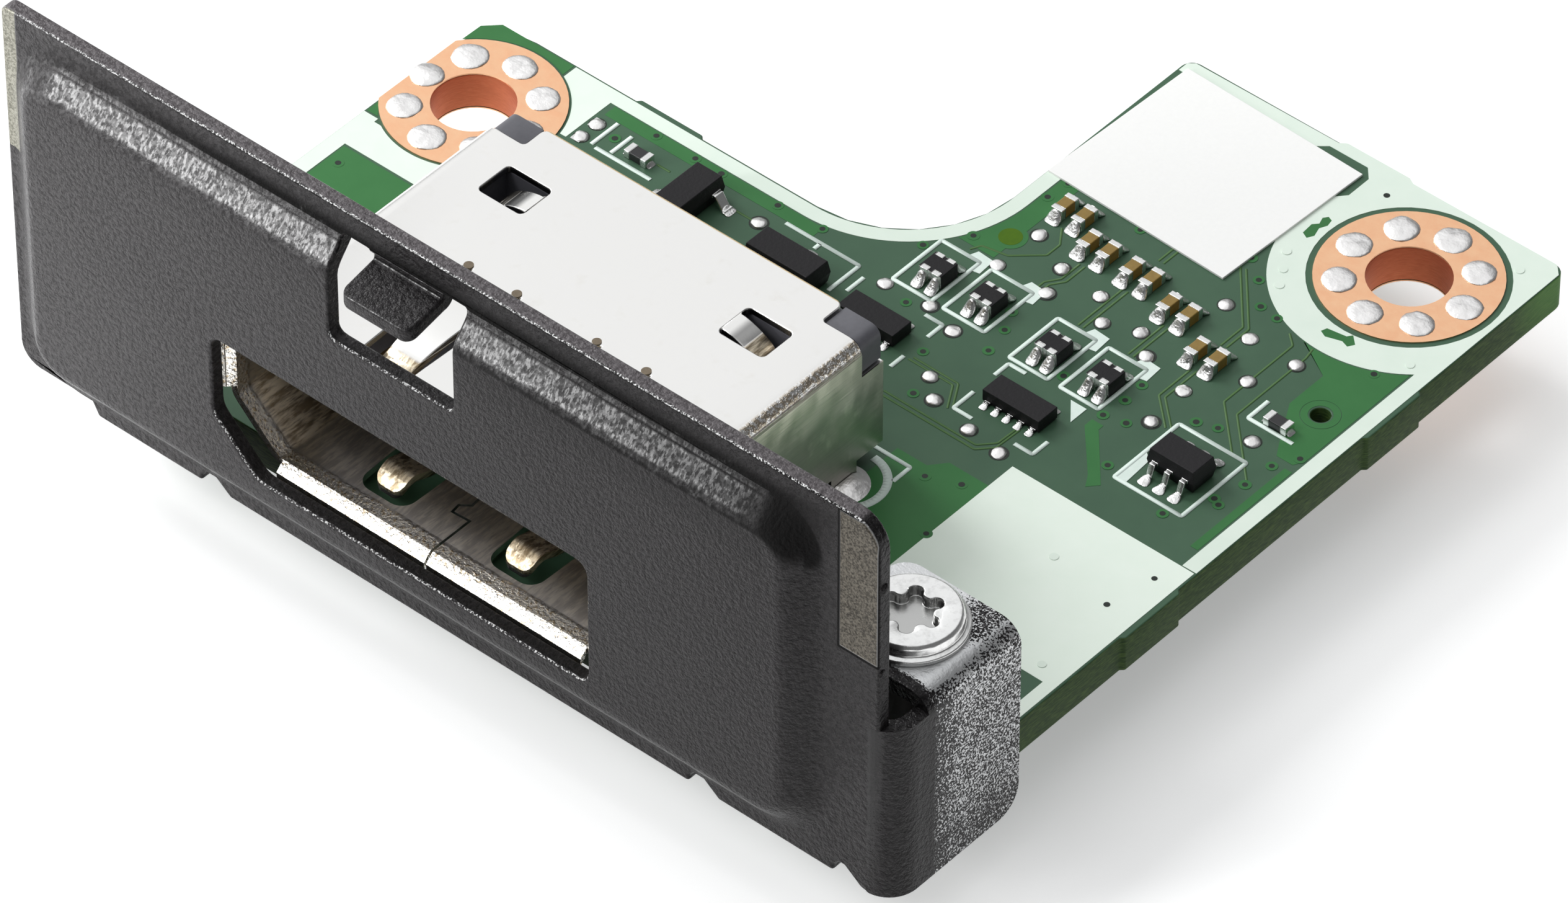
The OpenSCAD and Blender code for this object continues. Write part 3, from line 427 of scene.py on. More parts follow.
def mask_finish():
    """Green solder mask over laminate, its weave at the sawn edges and bare copper in the screw holes."""
    f = Finish("green_solder_mask", rgb(50, 80, 60), 0.4, Specular_IOR_Level=0.2)
    place = f.place()
    level = f.facing()[Z]
    cloudy = f.noise(place, 0.5, 3.0)
    weave = f.noise(f.stretched(place, 1.0, 1.0, 8.0), 3.0, 3.0, 0.6)
    flat = level.size().rises(0.5, 0.8)
    in_plan = f.stretched(place, 1.0, 1.0, 0.0)
    from_hole = f.distance(in_plan, REAR_HOLE).least(f.distance(in_plan, EAR_HOLE))
    bare = (1.0 - flat) * from_hole.falls(HOLE_R + 0.09, HOLE_R + 0.17)
    mask = f.mix(cloudy, rgb(62, 90, 71), rgb(74, 104, 81))
    cut = f.mix(weave.rises(0.35, 0.7), rgb(36, 60, 26), rgb(76, 100, 50))
    rear_corner = f.distance(place, (20.1, 35.6, -3.3)).falls(0.4, 3.2)
    cut = f.mix(rear_corner * 0.6, cut, rgb(84, 144, 50))
    cut = f.mix(bare, cut, f.mix(weave, rgb(176, 98, 68), rgb(214, 134, 98)))
    f.set("Base Color", f.mix(flat, cut, mask))
    f.set("Metallic", bare)
    f.set("Roughness", f.blend(flat, 0.55, 0.38))
    ripple = f.noise(place, 1.5, 2.0)
    f.set("Normal", f.bump(ripple * flat + weave * (1.0 - flat), 0.02 * MM, strength=0.5))
    return f.material


def plain_finish(name, low, high, roughness, scale=3.0, depth=0.01, metallic=0.0, **fixed):
    """A finish between two shades, with a fine uneven surface."""
    f = Finish(name, low, roughness, metallic, **fixed)
    place = f.place()
    shade = f.noise(place, scale, 3.0, 0.6)
    f.set("Base Color", f.mix(shade, low, high))
    f.set("Roughness", f.blend(shade, roughness * 0.85, roughness * 1.15))
    f.set("Normal", f.bump(shade, depth * MM, strength=0.6))
    return f.material


# One finish for each of the record's materials. A plain finish has two shades, a roughness, the scale of its
# pattern, the depth of its bumps in millimetres and how much of a metal it is.
FINISHES = {
    "bracket_paint": bracket_finish(),
    "screw_steel": screw_finish(),
    "standoff_metal": steel_finish("turned_steel", (0.7, 0.7, 0.68), 0.3, (1, 1, 6), 4.0, 0.006),
    "board_laminate": mask_finish(),
    "copper": plain_finish("bare_copper", rgb(250, 206, 166), rgb(242, 182, 142), 0.32, 2.0, 0.012, 1.0),
    "solder": plain_finish("bright_solder", (0.97, 0.96, 0.95), (0.74, 0.72, 0.71), 0.33, 3.0, 0.05, 1.0),
    "shell_steel": shell_finish(),
    "housing_plastic": plain_finish("grey_nylon", rgb(84, 84, 90), rgb(98, 98, 104), 0.5, 6.0, 0.01),
    "contact_metal": plain_finish("gold_flash", (0.9, 0.72, 0.38), (0.84, 0.64, 0.32), 0.25, 4.0, 0.004, 1.0),
    "label_white": plain_finish("label_stock", rgb(244, 244, 242), rgb(250, 250, 248), 0.55, 8.0, 0.004),
    "chip_ceramic": plain_finish("tan_ceramic", rgb(124, 98, 38), rgb(150, 122, 54), 0.45, 5.0, 0.01),
    "chip_black": plain_finish(
        "moulded_black", rgb(21, 20, 22), rgb(31, 29, 32), 0.55, 8.0, 0.02, Specular_IOR_Level=0.25
    ),
    "resistor_black": plain_finish("resistor_glass", rgb(22, 22, 24), rgb(31, 30, 33), 0.3, 5.0, 0.006),
    "host_plastic": plain_finish("black_nylon", rgb(30, 30, 31), rgb(38, 38, 39), 0.5, 6.0, 0.01),
}
# solder at the chips, with painted reflections: bright and dark patches for the surroundings it mirrors
worn_solder = plain_finish("worn_solder", (1.0, 1.0, 0.99), (0.5, 0.5, 0.49), 0.3, 4.0, 0.09, 1.0)
tin = plain_finish("tinned_ends", (0.84, 0.84, 0.83), (0.7, 0.7, 0.69), 0.25, 6.0, 0.012, 1.0)


def masked(name, low, high, roughness=0.38, scale=0.6):
    """A finish of the solder mask where something lies under it."""
    return plain_finish(name, low, high, roughness, scale, 0.01, Specular_IOR_Level=0.2)


pour = masked("mask_over_pour", rgb(50, 107, 58), rgb(62, 120, 68))
plane = masked("mask_over_plane", rgb(231, 244, 231), rgb(240, 250, 240))
plane_edge = masked("mask_over_edge_plane", rgb(219, 234, 221), rgb(233, 244, 233))
track = masked("mask_over_track", rgb(72, 106, 64), rgb(84, 116, 68), 0.4, 2.0)
ink = plain_finish("white_ink", rgb(214, 232, 222), rgb(232, 244, 238), 0.6, 5.0, 0.01)
filled = masked("filled_hole", rgb(62, 98, 4), rgb(80, 114, 8), 0.6, 3.0)
shade = plain_finish("dark_green", rgb(8, 20, 12), rgb(14, 28, 18), 0.6, 3.0, 0.01)
slot_of = {part["node"]: part["material_slot"] for part in frame["record"]["subparts"]}


# Pieces

# Angles between two faces: up to the first they are one, and past the others their edge is sharp or rounded
FLAT_ANGLE = math.radians(1.0)
SHARP_ANGLE = math.radians(32.0)
ROUNDED_ANGLE = math.radians(38.0)


def keep(piece, slot, *replaced):
    """Puts a finished piece in the frame."""
    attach(piece, "root")
    if replaced:
        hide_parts(*replaced)
    return piece


def new_piece(name, data, *materials):
    piece = bpy.data.objects.new(name, data)
    bpy.context.scene.collection.objects.link(piece)
    for material in materials:
        data.materials.append(material)
    return piece


def settle(piece):
    """Turns a piece with live modifiers into a plain mesh."""
    bpy.context.view_layer.update()
    graph = bpy.context.evaluated_depsgraph_get()
    mesh = bpy.data.meshes.new_from_object(piece.evaluated_get(graph))
    piece.modifiers.clear()
    piece.data = mesh
    return piece


def dressed(node, edge=0.04, segments=2, ends=None, loose=True, crowded=None):
    """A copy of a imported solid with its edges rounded.

    A loose rounding doesn't shrink where edges crowd together, and its stray points are put back on the
    solid. ends is a second finish and the test for its faces. crowded tests the middle of an edge, for the
    places that stay sharp.
    """
    mesh = nodes[node].data.copy()
    mesh.materials.clear()
    work = bmesh.new()
    work.from_mesh(mesh)
    bmesh.ops.remove_doubles(work, verts=work.verts, dist=MERGE)
    bmesh.ops.dissolve_limit(
        work, angle_limit=FLAT_ANGLE, verts=work.verts, edges=work.edges, delimit={"NORMAL"}
    )
    for face in work.faces:
        face.smooth = True
        if ends and ends[1](face.calc_center_median() / MM):
            face.material_index = 1
    weight = work.edges.layers.float.new("bevel_weight_edge")
    for side in work.edges:
        middle = (side.verts[0].co + side.verts[1].co) / 2 / MM
        left_sharp = crowded and crowded(middle)
        side[weight] = float(side.calc_face_angle(0.0) > ROUNDED_ANGLE and not left_sharp)
    work.to_mesh(mesh)
    work.free()
    mesh.set_sharp_from_angle(angle=SHARP_ANGLE)
    slot = slot_of[node]
    materials = [FINISHES[slot]] + ([ends[0]] if ends else [])
    piece = new_piece("dressed_" + node, mesh, *materials)
    if edge:
        bevel = piece.modifiers.new("edges", "BEVEL")
        bevel.width = edge * MM
        bevel.segments = segments
        bevel.limit_method = "WEIGHT"
        bevel.harden_normals = True
        bevel.use_clamp_overlap = not loose
        settle(piece)
        if loose:
            hold_to(piece, nodes[node].data, SLACK * edge * MM)
    return keep(piece, slot, node)


def hold_to(piece, solid, slack):
    """Puts points that the rounding threw off a solid back on its surface."""
    surface = BVHTree.FromPolygons(
        [vert.co for vert in solid.vertices], [face.vertices for face in solid.polygons]
    )
    for vert in piece.data.vertices:
        nearest, _, _, gap = surface.find_nearest(vert.co)
        if gap > slack:
            vert.co = nearest


def solids_of(node):
    """The middle of each separate solid of a node, in millimetres."""
    work = bmesh.new()
    work.from_mesh(nodes[node].data)
    bmesh.ops.remove_doubles(work, verts=work.verts, dist=MERGE)
    middles = []
    for start in work.verts:
        if start.tag:
            continue
        start.tag = True
        reached = [start]
        for vert in reached:
            for edge in vert.link_edges:
                other = edge.other_vert(vert)
                if not other.tag:
                    other.tag = True
                    reached.append(other)
        sides = [(min(part), max(part)) for part in zip(*(vert.co / MM for vert in reached))]
        middles.append(tuple((low + high) / 2 for low, high in sides))
    work.free()
    return middles


def chip_ends(node, half_body, axis):
    """The finish of a chip's ends or leads, and the test for their faces."""
    low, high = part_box(node)
    middle = (low[axis] + high[axis]) / 2 / MM
    return tin, lambda centre: abs(centre[axis] - middle) > half_body


def numbered(name, count):
    return ["%s_%d" % (name, number) for number in range(1, count + 1)]


CAPACITORS = numbered("capacitor", 10)
CHOKES = numbered("choke", 4)
ARRAYS = numbered("protection_array", 2)
RESISTORS = ["ear_resistor", "arm_resistor"]


def at_bracket_folds(place):
    """The low part of the bend to the flange, and all that stands behind the plate."""
    return place.x > 19.9 and place.z < 4.4 or place.y > 0.3


def below_shell_top(place):
    return place.z < 2.3


dressed("bracket", 0.12, 3, crowded=at_bracket_folds)
dressed("board", 0.06)
dressed("bracket_screw", 0.05)
dressed("standoff", 0.05)
dressed("connector_shell", 0.05, crowded=below_shell_top)
dressed("connector_housing", 0.05, loose=False)
dressed("label", 0.02)
for name in ("rear_screw_ring", "ear_screw_ring", "shell_leg_solder"):
    dressed(name, 0)
for name in ("upper_contacts", "lower_contacts", "host_connector", "host_contacts"):
    dressed(name, 0.02, 1, loose=False)

# chips, with their rounding, half of their body's length and the axis from one plated end to the other
chips = (
    (CAPACITORS, 0.04, 0.254, Y),
    (CHOKES, 0.03, 0.3, Y),
    (ARRAYS, 0.03, 0.52, Y),
    (["six_lead_package"], 0.03, 0.64, Y),
    (["three_lead_package_1"], 0.04, 0.66, X),
    (["three_lead_package_2"], 0.04, 0.66, Y),
    (RESISTORS, 0.03, 0.255, X),
)
for names, edge, half_body, axis in chips:
    for name in names:
        dressed(name, edge, ends=chip_ends(name, half_body, axis))


# Solder at the chips

# A lump's section across, as shares of its half width and its height
ROUND_SECTION = ((-1.0, 0.0), (-0.92, 0.5), (-0.5, 0.92), (0.0, 1.0), (0.5, 0.92), (0.92, 0.5), (1.0, 0.0))
LUMP_STEPS = 5

# Sizes of a lump: its half width, its height at the chip, how far it runs out, how far inside the chip's end
# it starts, and the share by which it widens
LUMPS = {
    "capacitor": {"half": 0.28, "high": 0.52, "reach": 0.4, "inset": 0.02, "flare": 0.4},
    "choke": {"half": 0.23, "high": 0.6, "reach": 0.5, "inset": 0.02, "flare": 0.25},
    "array": {"half": 0.13, "high": 0.16, "reach": 0.34, "inset": 0.12, "flare": 0.5},
    "six_lead": {"half": 0.17, "high": 0.18, "reach": 0.44, "inset": 0.16, "flare": 0.8},
    "three_lead": {"half": 0.26, "high": 0.2, "reach": 0.4, "inset": 0.2, "flare": 0.25},
    "resistor": {"half": 0.2, "high": 0.2, "reach": 0.16, "inset": 0.02, "flare": 0.1},
}


def lump(work, chance, x, y, axis, sign, size):
    """One lump of solder that starts at (x, y) on a plated end and runs out onto the board."""
    rows = []
    for step in range(LUMP_STEPS + 1):
        share = step / LUMP_STEPS
        blunt = (0.25 + size["flare"] * 0.8) * share ** 6
        wide = size["half"] * (1.0 + size["flare"] * share - blunt) * chance.uniform(0.92, 1.08)
        rise = size["high"] * (1.0 - share) ** 1.5 * chance.uniform(0.9, 1.1) + 0.02
        out = sign * size["reach"] * share
        row = []
        for across, lift in ROUND_SECTION:
            side = across * wide
            place = (x + side, y + out) if axis == Y else (x + out, y + side)
            row.append(work.verts.new((place[0] * MM, place[1] * MM, TOP + rise * lift * MM)))
        rows.append(row)
    for near, far in zip(rows, rows[1:]):
        for i in range(-1, len(ROUND_SECTION) - 1):
            work.faces.new((near[i], near[i + 1], far[i + 1], far[i]))
    work.faces.new(rows[0])
    work.faces.new(rows[-1])


def both_ends(places):
    """Each place across a chip, at its two ends."""
    return [(across, sign) for across in places for sign in (-1, 1)]


def solder_lumps():
    """The lumps at each chip's ends and leads. Places across are measured from the chip's middle."""
    single_lead_low = [(0, -1), (-0.95, 1), (0.95, 1)]
    single_lead_high = [(0, 1), (-0.95, -1), (0.95, -1)]
    families = (
        (CAPACITORS, Y, both_ends([0]), LUMPS["capacitor"]),
        (CHOKES, Y, both_ends([-0.3, 0.3]), LUMPS["choke"]),
        (ARRAYS, Y, both_ends([lead * 0.5 for lead in range(-2, 3)]), LUMPS["array"]),
        (["six_lead_package"], Y, both_ends([lead * 0.65 for lead in (-1, 0, 1)]), LUMPS["six_lead"]),
        (["three_lead_package_1"], X, single_lead_low, LUMPS["three_lead"]),
        (["three_lead_package_2"], Y, single_lead_high, LUMPS["three_lead"]),
        (RESISTORS, X, both_ends([0]), LUMPS["resistor"]),
    )
    work = bmesh.new()
    chance = random.Random(11)
    for names, axis, ends, size in families:
        for name in names:
            low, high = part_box(name)
            middle = (low + high) / 2 / MM
            extent = (high[axis] - low[axis]) / 2 / MM - size["inset"]
            for across, sign in ends:
                x = middle.x + (across if axis == Y else sign * extent)
                y = middle.y + (sign * extent if axis == Y else across)
                lump(work, chance, x, y, axis, sign, size)
    bmesh.ops.recalc_face_normals(work, faces=work.faces)
    for face in work.faces:
        face.smooth = True
    mesh = bpy.data.meshes.new("solder_lumps")
    work.to_mesh(mesh)
    work.free()
    piece = new_piece("solder_lumps", mesh, worn_solder)
    soft = piece.modifiers.new("soft", "SUBSURF")
    soft.levels = 1
    soft.render_levels = 1
    keep(settle(piece), "solder")


solder_lumps()


# Things repeated along lines and over points

class Group(Graph):
    """A Geometry Nodes group: named numbers go in, and a mesh of one material comes out."""

    prefix = "GeometryNode"

    def __init__(self, name, **numbers):
        super().__init__(bpy.data.node_groups.new(name, "GeometryNodeTree"))
        face = self.tree.interface
        face.new_socket(name="Geometry", in_out="INPUT", socket_type="NodeSocketGeometry")
        face.new_socket(name="Geometry", in_out="OUTPUT", socket_type="NodeSocketGeometry")
        for key, value in numbers.items():
            kind = "NodeSocketInt" if isinstance(value, int) else "NodeSocketFloat"
            face.new_socket(name=key, in_out="INPUT", socket_type=kind)
        sockets = self.add("NodeGroupInput").socket.node.outputs
        self.numbers = numbers
        self.given = {socket.name: Value(self, socket) for socket in sockets if socket.name}

    def run(self, piece, result, material):
        """Ends the group, runs it on a piece and keeps what it makes as a plain mesh."""
        real = self.add("RealizeInstances", inputs={0: result})
        coated = self.add("SetMaterial", inputs={0: real, "Material": material})
        self.add("NodeGroupOutput", inputs={0: coated})
        modifier = piece.modifiers.new(self.tree.name, "NODES")
        modifier.node_group = self.tree
        for item in self.tree.interface.items_tree:
            if item.in_out == "INPUT" and item.name in self.numbers:
                modifier[item.identifier] = self.numbers[item.name]
        return settle(piece)


def ribbons(name, lines, width, top, material, corner=0.12):
    """Flat strips along lines on the board. A line that ends where it starts is closed."""
    points, edges = [], []
    for line in lines:
        closed = line[0] == line[-1]
        way = line[:-1] if closed else line
        start = len(points)
        points += [(x * MM, y * MM, TOP + top / 2 * MM) for x, y in way]
        edges += [(start + i, start + i + 1) for i in range(len(way) - 1)]
        if closed:
            edges.append((start + len(way) - 1, start))
    mesh = bpy.data.meshes.new(name)
    mesh.from_pydata(points, edges, [])
    g = Group(name, Width=width * MM, Thickness=top * MM, Corner=corner * MM)
    curve = g.add("MeshToCurve", inputs={0: g.given["Geometry"]})
    curve = g.add(
        "FilletCurve", {"mode": "POLY"},
        {"Curve": curve, "Count": 2, "Radius": g.given["Corner"], "Limit Radius": True},
    )
    curve = g.add("SetCurveNormal", {"mode": "Z_UP"}, {0: curve})
    section = g.add(
        "CurvePrimitiveQuadrilateral", inputs={"Width": g.given["Width"], "Height": g.given["Thickness"]}
    )
    strip = g.add("CurveToMesh", inputs={"Curve": curve, "Profile Curve": section, "Fill Caps": True})
    return keep(g.run(new_piece(name, mesh), strip, material), "board_laminate")


def discs(name, places, radius, top, material, seed, uneven=0.08, level=TOP, slot="board_laminate"):
    """A thin round plate at each place, on the board or at another level. Their sizes differ slightly."""
    mesh = bpy.data.meshes.new(name)
    mesh.from_pydata([(x * MM, y * MM, level + top / 2 * MM) for x, y in places], [], [])
    g = Group(name, Radius=radius * MM, Thickness=top * MM, Uneven=uneven, Seed=seed)
    plate = g.add(
        "MeshCylinder", inputs={"Vertices": 20, "Radius": g.given["Radius"], "Depth": g.given["Thickness"]}
    )
    least = 1.0 - g.given["Uneven"]
    largest = g.given["Uneven"] + 1.0
    scale = g.add("FunctionNodeRandomValue", inputs={2: least, 3: largest, "Seed": g.given["Seed"]}, output=1)
    spread = g.add("InstanceOnPoints", inputs={0: g.given["Geometry"], "Instance": plate, "Scale": scale})
    return keep(g.run(new_piece(name, mesh), spread, material), slot)


def blobs(name, node, radius, high, rough, seed, more=()):
    """Uneven blobs of solder in the places of a node's plain domes."""
    middles = solids_of(node) + list(more)
    mesh = bpy.data.meshes.new(name)
    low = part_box(node)[0].z
    mesh.from_pydata([(x * MM, y * MM, low) for x, y, _ in middles], [], [])
    g = Group(name, Radius=radius * MM, Height=high * MM, Rough=rough * MM, Seed=seed)
    ball = g.add("MeshUVSphere", inputs={"Segments": 20, "Rings": 12, "Radius": 1.0})
    sizes = g.add("CombineXYZ", inputs={0: g.given["Radius"], 1: g.given["Radius"], 2: g.given["Height"]})
    blob = g.add("Transform", inputs={"Geometry": ball, "Scale": sizes})
    uneven = g.add(
        "FunctionNodeRandomValue", {"data_type": "FLOAT_VECTOR"},
        {0: (0.9, 0.9, 0.8), 1: (1.04, 1.04, 1.15), "Seed": g.given["Seed"]},
    )
    turn = g.add(
        "FunctionNodeRandomValue", {"data_type": "FLOAT_VECTOR"},
        {0: (0.0, 0.0, 0.0), 1: (0.0, 0.0, 2 * math.pi), "Seed": g.given["Seed"] + 5.0},
    )
    spread = g.add(
        "InstanceOnPoints",
        inputs={0: g.given["Geometry"], "Instance": blob, "Scale": uneven, "Rotation": turn},
    )
    real = g.add("RealizeInstances", inputs={0: spread})
    here = g.add("InputPosition")
    field = g.add("TexNoise", inputs={"Vector": here, "Scale": 2.6 / MM, "Detail": 1.0}, output=1)
    middle = g.add("VectorMath", {"operation": "SUBTRACT"}, {0: field, 1: (0.5, 0.5, 0.5)})
    shift = g.add("VectorMath", {"operation": "SCALE"}, {0: middle, 3: g.given["Rough"]})
    moved = g.add("SetPosition", inputs={"Geometry": real, "Offset": shift})
    smooth = g.add("SetShadeSmooth", inputs={0: moved})
    return keep(g.run(new_piece(name, mesh), smooth, FINISHES["solder"]), "solder", node)


# a dot at the board's left edge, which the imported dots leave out
half_dot = (EAR_HOLE[X] - 2.2, EAR_HOLE[Y], 0.0)
blobs("ring_blobs", "ring_solder_dots", radius=0.68, high=0.1, rough=0.1, seed=3, more=[half_dot])
blobs("test_blobs", "test_point_dots", radius=0.3, high=0.12, rough=0.1, seed=8)


# Copper under the mask, and print on it

def arc(middle, radius, start, end, steps=24):
    angles = [math.radians(start + (end - start) * i / steps) for i in range(steps + 1)]
    return [(middle[X] + radius * math.cos(a), middle[Y] + radius * math.sin(a)) for a in angles]


def box(x0, y0, x1, y1):
    return [(x0, y0), (x1, y0), (x1, y1), (x0, y1)]


def plates(name, outlines, top, material):
    """Thin plates on the board. An outline inside another is a hole in it."""
    curve = bpy.data.curves.new(name, "CURVE")
    curve.dimensions = "2D"
    curve.fill_mode = "BOTH"
    curve.extrude = top / 2 * MM
    for outline in outlines:
        spline = curve.splines.new("POLY")
        spline.points.add(len(outline) - 1)
        for point, (x, y) in zip(spline.points, outline):
            point.co = (x * MM, y * MM, 0.0, 1.0)
        spline.use_cyclic_u = True
    drawn = new_piece(name + "_outline", curve)
    bpy.context.view_layer.update()
    mesh = bpy.data.meshes.new_from_object(drawn.evaluated_get(bpy.context.evaluated_depsgraph_get()))
    bpy.data.objects.remove(drawn)
    mesh.transform(Matrix.Translation((0.0, 0.0, TOP + top / 2 * MM)))
    mesh.materials.clear()
    return keep(new_piece(name, mesh, material), "board_laminate")


# heights of the layers over the board's top
PLANE_T = 0.013
POUR_T = 0.008
LAND_T = 0.01
FILLING_T = 0.014
TRACK_T = 0.011
INK_T = 0.024
MARK_T = 0.022
PAD_T = 0.03

rear = HOLES["screw_hole_rear"]
ear = HOLES["screw_hole_ear"]

# middle of the stub at the board's rear edge, and of the arcs round the board's inner corner
stub = 11.775
corner = (-1.45, 26.45)

# radii at which the copper starts round the two rings, and the middles of the tooling hole and a filled hole
rear_ring_edge = 3.57
ear_ring_edge = 3.42
tooling_hole = (18.35, 24.85)
filled_hole = (4.65, 24.8)

# gaps in the band round the rear ring, to the left of the ring and in front of it
gap_left = [
    (-4.19, -0.63), (-4.23, -0.1), (-4.05, 0.1), (-4.15, 0.4), (-4.02, 0.58), (-3.82, 0.5), (-3.76, 0.2),
    (-3.9, -0.1), (-3.78, -0.5), (-3.92, -0.76),
]
gap_front = [
    (-0.58, -4.1), (-0.5, -3.86), (0.26, -3.74), (0.4, -3.55), (0.75, -3.88), (0.6, -4.13), (0.3, -4.03),
    (-0.3, -4.23),
]
ring_gaps = [[(rear[X] + x, rear[Y] + y) for x, y in gap] for gap in (gap_left, gap_front)]


def nearly_round(middle, radius):
    """An outline that stops 10 degrees short of a full turn, because it closes itself."""
    return arc(middle, radius, 0, 350, 35)


edge_planes = [
    # disc round the rear screw ring, with the bands along the board's rear and right edges
    [(3.5, 35.3), (3.5, 35.75), (3.75, 35.95), (stub - 1.64, 35.98), (stub - 1.38, 36.17)]
    + [(stub + 1.38, 36.17), (stub + 1.64, 36.02), (19.75, 36.02), (20.1, 35.65), (20.1, 16.1), (19.5, 16.1)]
    + arc(rear, 4.9, -49.2, -195.4, 48)
    + [(12.1, 34.1), (12.1, 35.2), (11.7, 35.65), (10.0, 35.65), (9.6, 35.3)],
    arc(rear, rear_ring_edge, 0, 352.5, 47),
    *ring_gaps,
    # band round the inner corner and along the ear's rear edge, up to the ear's ring
    [(3.45, 28.3), (3.45, 26.45)] + arc(corner, 4.9, 0, -90) + [(-12.5, 21.55), (-12.5, 20.9)]
    + arc(ear, ear_ring_edge, 65.1, 13.5) + [(-10.35, 18.6), (-10.35, 20.95)]
    + arc(corner, 5.5, -90, 0) + [(4.05, 28.3)],
    # band in front of the ear's ring
    [(-16.55, 8.0), (-15.9, 8.0), (-15.9, 13.3), (-8.5, 13.3), (-8.5, 14.8)]
    + arc(ear, ear_ring_edge, -61.3, -118.7)
    + [(-15.9, 14.8), (-15.9, 15.0), (-16.55, 15.0)],
]
pours = [
    [(15.6, 27.35), (17.2, 26.4), (17.2, 24.6), (18.2, 22.8), (18.5, 22.3), (19.2, 22.3), (19.42, 22.7)]
    + [(19.42, 28.4)] + arc(rear, 4.95, -50, -98),
    nearly_round(tooling_hole, 0.72),
    box(19.1, 17.0, 19.42, 22.0),
    [(4.12, 28.3), (4.9, 28.3), (4.9, 23.6), (3.35, 23.6)] + arc(corner, 5.55, -31, 0),
    box(-10.1, 20.35, -0.5, 20.9),
    [(12.65, 19.6), (12.65, 19.2), (14.3, 17.4), (14.6, 16.9), (14.95, 17.3), (13.15, 19.35), (13.15, 19.6)],
    [(8.6, 7.0), (12.14, 7.0), (12.14, 14.8), (10.4, 14.8), (9.9, 14.2), (8.6, 14.2)],
    [(-12.6, 20.95)] + arc(ear, ear_ring_edge, 67, 139) + [(-16.5, 21.0), (-15.95, 21.55), (-12.6, 21.55)],
    [(-16.5, 15.1), (-16.0, 15.1), (-16.5, 15.7)],
    box(-15.85, 6.0, -8.5, 13.2),
    *ring_gaps,
]
ground_plane = [
    (12.12, 7.0), (18.5, 7.0), (18.5, 8.8), (19.55, 8.8), (19.55, 7.0), (20.05, 7.0), (20.05, 16.05),
    (12.12, 16.05),
]
hole_lands = [
    nearly_round(tooling_hole, 0.7), nearly_round(tooling_hole, 0.44), nearly_round(filled_hole, 0.62),
]
plates("edge_planes", edge_planes, PLANE_T, plane_edge)
plates("ground_plane", [ground_plane], PLANE_T, plane)
plates("pours", pours, POUR_T, pour)
plates("hole_lands", hole_lands, LAND_T, pour)
plates("filled_holes", [nearly_round(filled_hole, 0.43)], FILLING_T, filled)


def pair(line, dx, dy):
    """A line, and the same line moved."""
    return [line, [(x + dx, y + dy) for x, y in line]]


tracks = (
    [[(5.7, 26.3), (6.2, 25.6), (6.2, 24.9), (5.2, 24.0), (4.2, 23.8), (4.0, 23.4)]]
    + pair([(7.35, 25.3), (7.35, 24.3), (7.0, 23.8), (7.0, 23.2)], 0.22, 0.0)
    + pair([(9.28, 25.3), (9.28, 22.9)], 0.22, 0.0)
    + pair([(9.28, 28.0), (9.28, 27.2)], 0.22, 0.0)
    + pair([(11.5, 24.8), (11.5, 22.9)], 0.22, 0.0)
    + pair([(11.6, 28.8), (13.6, 26.5), (13.6, 25.3)], 0.22, 0.05)
    + pair([(13.6, 23.7), (13.6, 22.0), (14.8, 20.9)], 0.22, 0.06)
    + [[(15.0, 27.3), (15.47, 26.9), (15.47, 23.2), (17.3, 21.4)]]
    + [[(16.1, 27.2), (16.2, 26.7), (16.2, 23.0), (18.5, 20.7)]]
    + pair([(6.0, 17.8), (8.0, 17.8), (8.6, 16.8)], 0.1, 0.17)
    + pair([(6.5, 15.85), (10.6, 15.85), (11.1, 16.4), (11.15, 17.6)], -0.1, 0.2)
    + [[(-7.0, 19.6), (-6.4, 19.6)], [(-3.7, 19.6), (-2.6, 19.6)]]
)
ribbons("tracks", tracks, 0.085, TRACK_T, track)


def print_box(x0, y0, x1, y1):
    """A closed line round a box."""
    return box(x0, y0, x1, y1) + [(x0, y0)]


choke_boxes = [
    (2.98, 20.5, 4.72, 23.1), (5.25, 20.5, 7.1, 23.1), (8.55, 20.1, 10.25, 22.7), (10.8, 20.1, 12.5, 22.7),
]
print_lines = [print_box(*sides) for sides in choke_boxes] + [
    print_box(15.03, 17.9, 17.97, 21.35),
    [(9.5, 19.85), (8.75, 19.85), (8.75, 19.1)],
    [(8.75, 18.0), (8.75, 16.94), (9.56, 16.94)],
    [(12.25, 17.75), (12.25, 16.94), (11.45, 16.94)],
    [(5.0, 19.85), (5.8, 19.85), (5.8, 19.05)],
    [(5.8, 17.8), (5.8, 17.1)],
    [(2.2, 19.9), (2.2, 19.0)],
    [(-9.42, 18.9), (-9.42, 20.3)],
    [(-8.6, 19.0), (-8.6, 20.1)],
    [(-9.2, 18.85), (-6.65, 18.85)],
    [(-1.65, 20.25), (1.7, 20.25), (1.7, 18.6)],
    [(-0.05, 20.2), (-0.05, 19.9)],
    [(8.0, 13.75), (9.56, 13.75), (9.56, 12.85)],
    [(16.6, 24.2), (16.6, 23.1), (18.55, 23.1)],
]
ribbons("print_lines", print_lines, 0.165, INK_T, ink, 0.06)
ribbons("print_arc", [arc((8.3, 11.9), 1.4, 90, -60)], 0.32, INK_T, ink)

